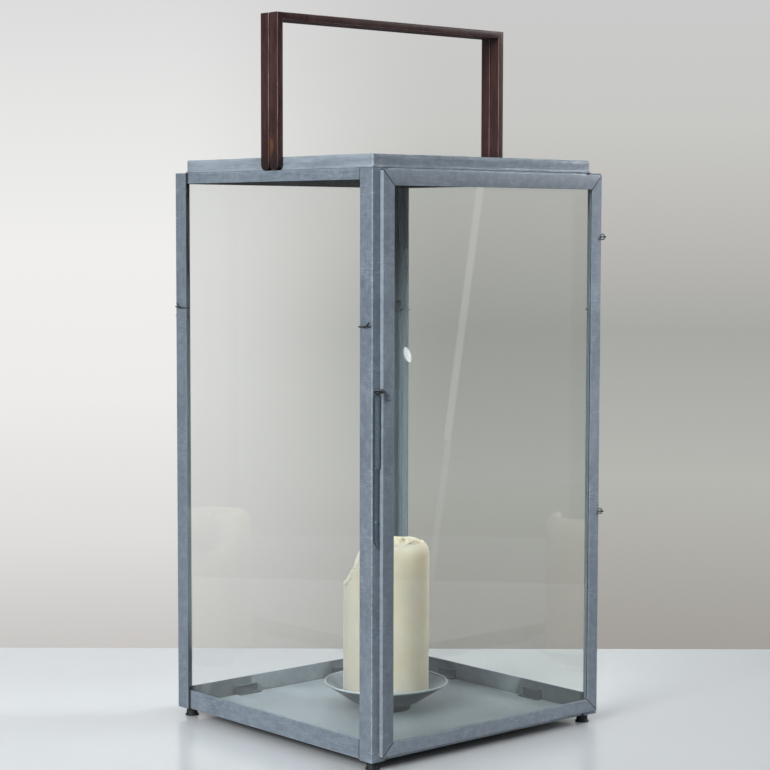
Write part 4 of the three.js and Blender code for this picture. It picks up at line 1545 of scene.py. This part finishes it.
@dataclass
class Latch:
    """A wire eye on the post, a hook on the door and a leaf spring beside the door's edge."""

    plan: Plan
    eye_x: float = -136.8
    eye_y: float = -145.3
    eye_z: float = 324.7
    eye_radius: float = 4.2
    wire_radius: float = 0.8
    inside: float = -137.4
    clinch: float = 5.0
    hook_x: float = -126.0
    hook_y: float = -146.0
    hook_z: float = 319.3
    hook_eye: float = 2.0
    hook_reach: float = 13.2
    hook_elbow: float = 5.8
    hook_gap: float = 0.3
    spring_left: float = -139.6
    spring_top: float = 321.5
    spring_crank: float = 259.0
    spring_bend: float = 2.4
    spring_bottom: float = 191.4
    spring_width: float = 7.5
    spring_low_left: float = -138.4
    spring_low_width: float = 5.2
    spring_step: float = 1.6
    spring_sheet: float = 0.8
    spring_point: float = 6.0
    rivet_z: float = 214.0
    rivet_inside: float = 138.5
    rivet_radius: float = 1.7
    pin_radius: float = 2.0
    stud_radius: float = 0.9
    dome: float = 0.8
    pin_inside: float = 143.8

    def eye(self) -> Surface:
        """A level ring with a shank through the post and its ends spread inside.

        Returns:
            The eye.
        """
        x, z, r, thick = self.eye_x, self.eye_z, self.eye_radius, self.wire_radius
        loop = xyz(*arc((x, self.eye_y), (r, r), 100, 440, 40).T, z)
        shank = xyz(x, np.linspace(self.eye_y + r, self.inside, 4), z)
        spread = xyz(x, self.inside, z + np.linspace(-self.clinch, self.clinch, 7))
        return wire(loop, ALONG_Z, thick).joined(wire(shank, ALONG_Z, thick), wire(spread, ALONG_Y, thick))

    def hook(self) -> Surface:
        """One wire: a ring round the pin, an arm up to the elbow and a level tip over the eye.

        Returns:
            The hook.
        """
        arm_z = self.eye_z + self.wire_radius * 2 + self.hook_gap
        x, z = arc((self.hook_x, self.hook_z), (self.hook_eye, self.hook_eye), -215, 135, 36).T
        loop = xyz(x, self.hook_y, z)
        corners = [loop[-1], (self.hook_x - self.hook_elbow, self.hook_y, arm_z),
                   (self.hook_x - self.hook_reach, self.hook_y, arm_z)]
        path = np.concatenate([loop, eased(corners, 2.4, 8, False)[1:]])
        radius = np.full(len(path), self.wire_radius)
        radius[-1] *= 0.7
        return wire(path, ALONG_Y, radius)

    def spring(self) -> Surface:
        """The leaf: a strip stepped out above, narrower and pointed below, with a wavy edge.

        Each ring is a rectangle with two more points on its front; its height up the leaf sets
        how far it stands out, where its left edge lies and how wide it is.

        Returns:
            The leaf, with a rim of 1 at its edges, which are painted dark as shade, and 0 inside them.
        """
        bottom, crank, top = self.spring_bottom, self.spring_crank, self.spring_top
        z = np.concatenate([
            np.linspace(bottom, bottom + self.spring_point, 5),
            np.linspace(bottom + self.spring_point + 3, crank - 2.4, 20),
            np.linspace(crank - 1.2, crank + 2.2, 6), np.linspace(crank + 5, top - 0.3, 24), [top]])[:, None]
        upper = np.clip((z - crank) / self.spring_bend + 1 / 3, 0, 1)
        upper = upper * upper * (3 - 2 * upper)
        point = np.clip((z - bottom) / self.spring_point, 0.04, 1)
        left = self.spring_low_left + (self.spring_left - self.spring_low_left) * upper
        left = left + self.spring_low_width * (1 - point) * (1 - upper)
        width = (self.spring_low_width + (self.spring_width - self.spring_low_width) * upper) * point
        width = width - (ripple(z, 0.16, 23.0) + 0.25) * upper
        out = -self.plan.half - self.spring_step * upper
        across, deep = np.array([(0, 0), (1, 0), (1, 1), (0.7, 1), (0.3, 1), (0, 1)]).T
        rings = xyz(left + across * width, out - deep * self.spring_sheet, z)
        return ringed(rings).marked("rim", np.tile([1.0, 1.0, 1.0, 0.0, 0.0, 1.0], len(z)))

    def stud(self, x: float, z: float, head: float, radius: float, inner: Sequence[Point]) -> Surface:
        """A domed stud: a profile of (radius, depth) turned about a line along Y.

        Args:
            x: where its axis is.
            z: the height of its axis.
            head: depth of its head.
            radius: radius of its head.
            inner: the rest of its profile, behind the shank.

        Returns:
            The stud.
        """
        profile = np.concatenate([[(0.0, head + self.dome)], arc((0, head), (radius, self.dome), 75, 0, 6),
                                  [(self.stud_radius, head)], inner])
        return lathed(profile, 20).moved(lambda p: xyz(x + p[:, 0], -p[:, 2], z + p[:, 1]))

    def rivet(self) -> Surface:
        """A round-headed rivet through the leaf and the post.

        Returns:
            The rivet.
        """
        inner = self.rivet_inside
        back = [(self.stud_radius, inner), *arc((0, inner), (self.rivet_radius, self.dome), 0, -75, 6),
                (0.0, inner - self.dome)]
        return self.stud(self.spring_low_left + self.spring_low_width / 2, self.rivet_z,
                         self.plan.half + self.spring_sheet, self.rivet_radius, back)

    def pin(self) -> Surface:
        """The hook's pin, with a domed head.

        Returns:
            The pin.
        """
        head = -self.hook_y + self.wire_radius + self.hook_gap
        return self.stud(self.hook_x, self.hook_z, head, self.pin_radius,
                         [(self.stud_radius, self.pin_inside), (0.0, self.pin_inside)])

    def build(self) -> None:
        """Makes the pieces of the latch."""
        black = BlackenedSteel(base="#111214", pale="#26282b", metallic=0.3).make("blackened_steel_latch_eye")
        dark = BlackenedSteel(base="#4f565e", pale="#69717a", metallic=0.3).make("worn_steel_hook")
        grey = BlackenedSteel(base="#69727c", pale="#7d8690", metallic=0.3).make("zinc_coated_steel_hook_pin")
        blued = BlackenedSteel(base="#5e6d7a", pale="#7c8a96", roughness=0.44, metallic=0.4)
        # Painted shade: dark lines along the leaf's edges.
        leaf = replace(blued, rim="#242b32").make("blued_spring_steel")
        onto = self.plan.onto(Side.FRONT)
        for node, made, surface, finish, slot, body in (
                ("latch_spring", "leaf", self.spring(), leaf, "spring_steel", "lantern"),
                ("latch_eye", "wire", self.eye(), black, "steel_wire", "lantern"),
                ("latch_hook", "wire", self.hook(), dark, "steel_wire", "latch_hook"),
                ("latch_hook_pin", "domed", self.pin(), grey, "steel_wire", "door"),
                ("latch_spring_rivet", "domed", self.rivet(), blued.make("blued_steel_rivet"), "spring_steel",
                 "lantern")):
            make_piece(node, made, surface.moved(onto), finish, body)


# ------------------------------------------------------------------ feet, dish and candle
@dataclass
class Feet:
    """Push-in rubber feet: a flared lip, a short body, a stem and a barb above the floor."""

    plan: Plan
    lip: float = 6.4
    body: float = 5.3
    stem: float = 2.2
    barb: float = 3.4
    barb_height: float = 1.6
    inset: float = 9.5
    gap: float = 0.2

    def build(self) -> None:
        """Turns the four feet."""
        finish = MouldedRubber().make("moulded_rubber_feet")
        foot, floor = self.plan.post_foot, self.plan.floor_top + self.gap
        tip = floor + self.barb_height
        corners = [(0, 0), (self.lip, 0), (self.lip, 1.0), (self.body, 1.9), (self.body - 0.3, foot),
                   (self.stem, foot), (self.stem, floor), (self.barb, floor), (self.stem, tip), (0, tip)]
        profile = eased(corners, [0.5, 0.4, 0.6, 0.4, 0.1, 0.05, 0.15, 0.3], 4, False)
        place = self.plan.half - self.inset
        for along, y in (("front", -place), ("rear", place)):
            for across, x in (("left", -place), ("right", place)):
                turned = lathed(profile, 36, (x, y + self.plan.centre[1]))
                make_piece(f"foot_{along}_{across}", "turned", turned, finish)


@dataclass
class Dish:
    """A spun cone with a rolled rim, on a round black foot."""

    plan: Plan
    foot_radius: float = 23.0
    foot_wall: float = 4.0
    foot_height: float = 7.0
    base_radius: float = 30.0
    rim_radius: float = 57.7
    roll: float = 0.85
    height: float = 19.2
    sheet: float = 1.3
    unevenness: float = 0.2
    even_to: float = 40.0
    uneven_over: float = 18.0

    def dish(self, low: float) -> Surface:
        """The dish, from the middle of its underside over the rolled rim to its well.

        Args:
            low: height of its underside.

        Returns:
            The dish.
        """
        rim, roll = low + self.height, self.roll
        outer = eased([(0, low), (self.base_radius, low), (self.rim_radius - roll, rim - 0.4)], 1.2, 5, False)
        slope = math.atan2(self.height, self.rim_radius - self.base_radius)
        well = self.base_radius - self.sheet / math.sin(slope) + self.sheet / math.tan(slope)
        inner = [(self.rim_radius - 2 * roll - 0.4, rim - 1.35), (well, low + self.sheet),
                 (0, low + self.sheet)]
        edge = arc((self.rim_radius - roll, rim - 0.25), (roll, roll), -55, 180, 12)
        return lathed(np.concatenate([outer[:-1], edge, eased(inner, 1.2, 5, False)]), 128, self.plan.centre)

    def uneven(self, points: Array) -> Array:
        """Lets the rim dip a little here and there: a sum of sines in the angle round the dish.

        Args:
            points: the dish's points.

        Returns:
            The points, lowered more the nearer they are to the rim.
        """
        x, y = points[:, 0], points[:, 1] - self.plan.centre[1]
        angle = np.arctan2(y, x)
        share = np.clip((np.hypot(x, y) - self.even_to) / self.uneven_over, 0, 1)
        wave = np.sin(3 * angle + 0.4) + 0.5 * np.sin(7 * angle) - 1.5
        return points + xyz(0, 0, share * self.unevenness * wave)

    def build(self) -> None:
        """Turns the dish and its foot."""
        floor, outer, hollow = self.plan.floor_top, self.foot_radius, self.foot_radius - self.foot_wall
        low = floor + self.foot_height
        finish = SpunZinc(self.rim_radius, self.plan.centre[1]).make("spun_zinc_dish")
        make_piece("candle_dish", "spun", self.dish(low).moved(self.uneven), finish, "dish")
        foot = eased([(0, floor + 2), (hollow, floor + 2), (hollow, floor), (outer, floor),
                      (outer - 0.4, low), (0, low)], [0.3, 0.5, 1.0, 0.1], 5, False)
        rubber = MouldedRubber().make("moulded_rubber_dish_foot")
        make_piece("dish_foot", "turned", lathed(foot, 72, self.plan.centre), rubber, "dish")


@dataclass
class Candle:
    """A burnt pillar candle: a soft shoulder, a hollow with charred crumbs and one side slumped.

    Places across the slump are given by s, the distance from the candle's middle towards the
    slumped side: radius times the cosine of the angle from the slump's heading. The well holds
    the hollow's section: how far in from the shoulder, and the share of the way down there.
    """

    plan: Plan
    radius: float = 40.0
    bottom: float = 24.43
    top: float = 168.93
    seat_radius: float = 38.0
    seat_rise: float = 1.4
    shoulder_width: float = 6.5
    shoulder_height: float = 13.0
    slump_heading: float = 138.5
    slump_from: float = 23.5
    slump_drop: float = 38.0
    slump_curve: float = 1.8
    hollow_depth: float = 7.0
    hollow_from: float = 10.0
    hollow_drop: float = 46.0
    crumb_heading: float = -38.0
    mound: tuple[float, float] = (25.5, 4.0)
    mound_size: tuple[float, float] = (7.0, 11.0)
    ridge: tuple[float, float] = (17.0, 24.0)
    ridge_size: tuple[float, float] = (3.5, 5.0)
    ridge_height: float = 0.8
    dent: float = 0.7
    dent_heading: float = 285.0
    dent_height: float = 82.0
    rim_waves: tuple[float, float] = (0.28, 0.18)
    wall_inset: float = 0.35
    wall_bulge: float = 0.25
    sides: int = 192
    well: tuple[tuple[float, float], ...] = (
        (0.6, 0.03), (1.3, 0.12), (2.2, 0.32), (3.4, 0.60), (5.0, 0.84), (6.8, 0.95), (8.6, 1.0),
        (10.4, 1.0), (12.4, 1.0), (14.4, 1.0), (16.6, 1.0), (19.0, 1.0), (21.6, 1.0), (24.4, 1.0),
        (27.4, 1.0), (30.4, 1.0))

    def drop(self, across: Array) -> Array:
        """How far the rim has sunk: its full drop times 1 - (1 - t)^curve, t from the slump's start."""
        share = np.clip((across - self.slump_from) / (self.radius - self.slump_from), 0, 1)
        return self.slump_drop * (1 - (1 - share) ** self.slump_curve)

    def hollow(self, across: Array) -> Array:
        """How far the hollow sinks below its floor on the slumped side: a smooth power of s."""
        share = np.clip((across - self.hollow_from) / (self.radius - 6 - self.hollow_from), 0, 1)
        return self.hollow_drop * share ** 1.6

    def crumbs(self, x: Array, y: Array) -> tuple[Array, Array]:
        """A low heap of charred crumbs inside the rim, away from the slump.

        A mound and a ridge are broken up by products of sines; their darkness follows their height.

        Args:
            x: distance from the candle's middle along X.
            y: the same along Y.

        Returns:
            How high it stands, and how dark it is, from 0 to 1.
        """
        heading = math.radians(self.crumb_heading)
        ahead = x * math.cos(heading) + y * math.sin(heading)
        aside = -x * math.sin(heading) + y * math.cos(heading)

        def bell(middle: Point, size: Point) -> Array:
            """A bell-shaped mound, given ahead and aside."""
            return np.exp(-((ahead - middle[0]) / size[0]) ** 2 - ((aside - middle[1]) / size[1]) ** 2)

        heap = bell(self.mound, self.mound_size) + self.ridge_height * bell(self.ridge, self.ridge_size)
        heap = np.clip(heap, 0, 1)
        rough = 0.5 + 0.5 * np.sin(1.3 * x + 0.4 * y) * np.sin(1.1 * y - 0.5 * x + 1.0)
        fine = 0.5 + 0.5 * np.sin(3.1 * x + 1.7 * y + 2.0) * np.sin(2.7 * y - 1.9 * x)
        dark = np.clip(1.7 * heap * (0.35 + 0.9 * rough) - 0.25, 0, 1)
        return heap * (3.2 + 2.6 * rough + 1.0 * fine), dark

    def burnt(self, pool: float) -> Surface:
        """The wax, in rings of (radius, height) round its middle.

        They climb the wall to the rim, whose height changes round the candle, roll over a
        soft shoulder and go down into the hollow, where they close on the middle.

        Args:
            pool: height of the hollow's floor.

        Returns:
            The wax, and how sooty it is at each point.
        """
        angle = np.linspace(0, 2 * math.pi, self.sides, endpoint=False)
        toward = np.cos(angle - math.radians(self.slump_heading))
        slow, quick = self.rim_waves
        crest = self.top - 0.5 + slow * np.sin(5 * angle + 1.0) + quick * np.sin(11 * angle)
        rim = crest - self.drop(self.radius * toward)
        low = np.clip((crest - rim) / self.slump_drop, 0, 1)
        up = np.linspace(0, 1, 40)[:, None]
        base = self.bottom + self.seat_rise
        shoulder = self.shoulder_height * (1 - 0.85 * low ** 0.5)
        width = self.shoulder_width * (1 - 0.80 * low ** 0.5)
        wall_z = base + (rim - shoulder - base) * up
        wall_r = self.radius - self.wall_inset - self.wall_bulge * np.sin(3 * angle) * up
        wall_r = wall_r + ripple(wall_z, 0.10, 70.0)
        aside = (angle - math.radians(self.dent_heading)) / 0.05
        wall_r = wall_r - self.dent * np.exp(-((wall_z - self.dent_height) / 2.2) ** 2 - aside ** 2)
        turn = np.radians(np.linspace(10, 90, 10))[:, None]
        over_r = wall_r[-1] - width * (1 - np.cos(turn))
        over_z = rim - shoulder * (1 - np.sin(turn))
        inwards, downwards = np.hsplit(np.array(self.well), 2)
        in_r = over_r[-1] - inwards
        floor = pool - self.hollow(in_r * toward)
        heap, dark = self.crumbs(in_r * np.cos(angle), in_r * np.sin(angle))
        in_z = rim + (np.minimum(floor, rim - 2.0) - rim) * downwards + heap * downwards
        seat_r, seat_z = np.ones((2, 2, self.sides))
        seat_r *= [[self.seat_radius - 1.5], [self.seat_radius]]
        seat_z *= [[self.bottom], [self.bottom + 0.1]]
        ring_r = np.concatenate([seat_r, wall_r, over_r, in_r])
        ring_z = np.concatenate([seat_z, wall_z, over_z, in_z])
        centre = self.plan.centre
        rings = xyz(ring_r * np.cos(angle) + centre[0], ring_r * np.sin(angle) + centre[1], ring_z)
        sooty = 0.6 * np.clip(low * 3 - 1.2, 0, 1) * np.exp(-((ring_z - rim + 1.5) / 2.6) ** 2)
        inside = sooty[-len(in_r):]
        np.maximum(inside, dark * np.clip(downwards * 2, 0, 1), out=inside)
        return ringed(rings, (*centre, self.bottom), (*centre, pool)).marked(
            "sooty", np.append(np.clip(sooty, 0, 1).reshape(-1), [0.0, 0.1]))

    def wick(self, pool: float) -> Surface:
        """A charred cord that leans over at its tip.

        Args:
            pool: height of the wax that it stands in.

        Returns:
            The wick.
        """
        run = np.linspace(0, 1, 14)
        path = xyz(3.2 * run ** 2, self.plan.centre[1], pool - 3 + 11.4 * run - 1.6 * run ** 3)
        return wire(path, ALONG_Y, 0.85 + 0.1 * np.sin(run * 40))

    def build(self) -> None:
        """Makes the candle and its wick."""
        pool = self.top - self.hollow_depth
        wax = CandleWax().make("poured_candle_wax")
        make_piece("candle", "burnt", self.burnt(pool), wax, "candle", 60)
        cotton = BurntCotton().make("burnt_cotton_wick")
        make_piece("candle_wick", "burnt", self.wick(pool), cotton, "candle")


# ------------------------------------------------------------------ studio
def place_object(name: str, data: bpy.types.ID) -> bpy.types.Object:
    """Makes an object and links it to the scene.

    Args:
        name: the object's name.
        data: its mesh, lamp or camera.

    Returns:
        The object.
    """
    made = bpy.data.objects.new(name, data)
    bpy.context.scene.collection.objects.link(made)
    return made


@dataclass(frozen=True)
class SoftLamp:
    """A soft lamp, in metres, watts and degrees: where it is, how large it is and what it faces."""

    name: str
    place: tuple[float, float, float]
    size: float
    power: float
    faces: tuple[float, float, float] = (0.0, 0.0, 0.3)
    spread: float = 180.0
    height: Optional[float] = None
    roll: float = 0.0
    oval: bool = False

    def hang(self) -> None:
        """Makes the lamp; the camera doesn't see it."""
        data = bpy.data.lights.new(self.name, "AREA")
        data.shape = "ELLIPSE" if self.oval else "RECTANGLE"
        data.size, data.size_y = self.size, self.height or self.size
        data.energy, data.spread = self.power, math.radians(self.spread)
        lamp = place_object(self.name, data)
        lamp.location = self.place
        lamp.rotation_mode = "QUATERNION"
        turn = Quaternion((0.0, 0.0, 1.0), math.radians(self.roll))
        lamp.rotation_quaternion = (Vector(self.faces) - lamp.location).to_track_quat("-Z", "Y") @ turn
        lamp.visible_camera = False


@dataclass(frozen=True)
class Room:
    """The room round the table: pale walls as the eye, mirrors and glass see them, and its soft light.

    What is seen goes from a bright wall on the left to a greyer one on the right, each with its
    own tones by how steeply one looks up, and to a dim room at the far left and behind the
    camera. Other rays get a light that grows with height.
    """

    left: tuple[tuple[float, str], ...] = ((-0.20, "#c9c6c4"), (-0.15, "#dedddc"), (-0.08, "#edecea"),
                                           (-0.01, "#f0efed"), (0.05, "#e7e7e6"), (0.11, "#dcdcdc"),
                                           (0.30, "#d8dadc"))
    right: tuple[tuple[float, str], ...] = ((-0.20, "#a39f9a"), (-0.12, "#b7b7b2"), (-0.05, "#a8a8a4"),
                                            (0.00, "#bcbab6"), (0.05, "#c8c8c5"), (0.11, "#cbcbcb"),
                                            (0.20, "#b0b0ac"), (0.27, "#d0d3d5"))
    behind: str = "#55595c"
    beside: str = "#8e9194"
    turn: tuple[float, float] = (-0.11, 0.037)
    beside_from: tuple[float, float] = (-0.3, -0.8)
    behind_from: tuple[float, float] = (0.3, -0.2)
    lowest: float = -0.25
    highest: float = 0.35
    light: str = "#f2f5fa"
    light_low: float = 0.12
    light_high: float = 0.80

    def build(self, ahead: Array, right: Array) -> None:
        """Makes the world for a camera.

        Args:
            ahead: the level direction that it looks in.
            right: the level direction to its right.
        """
        world = bpy.data.worlds.new("studio")
        world.use_nodes = True
        room = Shading(world.node_tree)
        way = room.node("ShaderNodeTexCoord").outputs["Generated"]
        dot = {"operation": "DOT_PRODUCT"}
        sideways, forwards = (
            room.node("ShaderNodeVectorMath", dot, i0=way, i1=(*level, 0.0)).outputs["Value"]
            for level in (right, ahead))
        up = room.node("ShaderNodeSeparateXYZ", None, Vector=way).outputs["Z"]
        height = room.between(up, self.lowest, self.highest)
        span = self.highest - self.lowest
        walls = [room.node("ShaderNodeValToRGB", {
            "ramp": [((level - self.lowest) / span, colour(code)) for level, code in stops]},
            Fac=height).outputs["Color"] for stops in (self.left, self.right)]
        across = room.between(sideways, *self.turn, course="SMOOTHSTEP")
        aside = room.between(sideways, *self.beside_from)
        wall = room.mixed(aside, room.mixed(across, *walls), colour(self.beside))
        dim = room.math("MULTIPLY", room.between(forwards, *self.behind_from), across)
        seen = room.node("ShaderNodeBackground", None, Color=room.mixed(dim, wall, colour(self.behind)))
        strength = room.between(up, -0.1, 0.9, self.light_low, self.light_high)
        light = room.node("ShaderNodeBackground", None, Color=colour(self.light), Strength=strength)
        path = room.node("ShaderNodeLightPath").outputs
        sight = room.math("MAXIMUM", path["Is Camera Ray"], path["Is Glossy Ray"])
        sight = room.math("MAXIMUM", sight, path["Is Transmission Ray"])
        both = room.node("ShaderNodeMixShader", None, i0=sight, i1=light.outputs[0], i2=seen.outputs[0])
        room.node("ShaderNodeOutputWorld", None, Surface=both.outputs[0])
        bpy.context.scene.world = world


@dataclass
class Studio:
    """Camera, lamps, table and room, in metres; angles are in degrees and the lens in millimetres."""

    position: tuple[float, float, float] = (-1.2626, -1.4232, 0.4612)
    yaw: float = 41.449
    pitch: float = 4.371
    roll: float = 0.12
    lens: float = 95.69
    table_back: float = 2.228
    table_front: float = -0.6
    table_half: float = 0.95
    table_thickness: float = 0.03
    table_corner: float = 0.05
    table_bevel: float = 0.002
    table_top: float = 0.9985
    lamps: tuple[SoftLamp, ...] = (
        SoftLamp("key", (-2.95, -0.95, 1.75), 1.5, 102.0),
        SoftLamp("fill", (1.3, -0.9, 0.9), 0.4, 0.7, (0.29, -0.14, 0.37), 27.0),
        SoftLamp("top", (-0.9, 0.9, 2.3), 1.4, 1.0),
        SoftLamp("strip", (0.7194, -0.9307, 0.3504), 0.010, 0.000404, (-0.137, -0.2495, 0.4142), 28.0,
                 height=0.373, roll=-6.8),
        SoftLamp("strip_low", (0.6771, -0.9348, 0.0681), 0.009, 0.00011, (-0.1793, -0.2536, 0.1319), 28.0,
                 height=0.198, roll=-6.8),
        SoftLamp("spot", (0.6323, -0.953, 0.2874), 0.0085, 0.0027, (-0.1031, -0.1377, 0.3548),
                 height=0.022, roll=17.0, oval=True))
    ahead: Array = field(init=False)
    right: Array = field(init=False)

    def __post_init__(self) -> None:
        """Works out the camera's level directions."""
        yaw = math.radians(self.yaw)
        self.ahead = np.array([math.sin(yaw), math.cos(yaw)])
        self.right = np.array([math.cos(yaw), -math.sin(yaw)])

    def build_camera(self) -> None:
        """Places the camera: pitched down from its level heading, then rolled."""
        data = bpy.data.cameras.new("camera")
        data.sensor_width = 36.0
        data.lens = self.lens
        camera = place_object("camera", data)
        pitch, roll = math.radians(self.pitch), math.radians(self.roll)
        ahead = np.array([*self.ahead * math.cos(pitch), -math.sin(pitch)])
        right = np.array([*self.right, 0.0])
        up = np.cross(right, ahead)
        right, up = right * math.cos(roll) + up * math.sin(roll), up * math.cos(roll) - right * math.sin(roll)
        pose = np.eye(4)
        pose[:3] = np.stack([right, up, -ahead, self.position], axis=1)
        camera.matrix_world = Matrix(pose.tolist())
        bpy.context.scene.camera = camera

    def build_table(self) -> None:
        """Makes the table: a slab with round corners whose far edge runs across the view.

        Its top ring is drawn in towards the middle, so that a narrow bevel runs round it.
        """
        front, back, wide = self.table_front, self.table_back, self.table_half
        corners = [np.array(self.position[:2]) + self.ahead * away + self.right * aside
                   for away, aside in ((front, -wide), (front, wide), (back, wide), (back, -wide))]
        x, y = eased(corners, self.table_corner, 6).T
        rings = np.stack([xyz(x, y, z) for z in (-self.table_thickness, -self.table_bevel, 0.0)])
        middle = rings[2].mean(axis=0)
        rings[2, :, :2] = middle[:2] + (rings[2, :, :2] - middle[:2]) * self.table_top
        surface = ringed(rings)
        mesh = bpy.data.meshes.new("table")
        mesh.from_pydata(surface.points.tolist(), [], surface.faces)
        mesh.materials.append(LacqueredTable().make("white_lacquered_table"))
        place_object("table", mesh)

    def build(self) -> None:
        """Sets up the studio."""
        bpy.context.scene.view_settings.view_transform = "Standard"
        self.build_camera()
        self.build_table()
        for lamp in self.lamps:
            lamp.hang()
        Room().build(self.ahead, self.right)


def main() -> None:
    """Builds the lantern's pieces in order, then the studio round them."""
    logging.basicConfig(level=logging.INFO, format="%(name)s: %(message)s")
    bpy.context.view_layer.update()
    plan = Plan()
    kinds = (CornerPosts, Rails, Lid, Handle, Glazing, Door, Hinges, Latch, Feet, Dish, Candle)
    for part in (*(kind(plan) for kind in kinds), Studio()):
        log.info("building %s", type(part).__name__)
        part.build()
    bpy.context.view_layer.update()


if __name__ == "__main__":
    main()
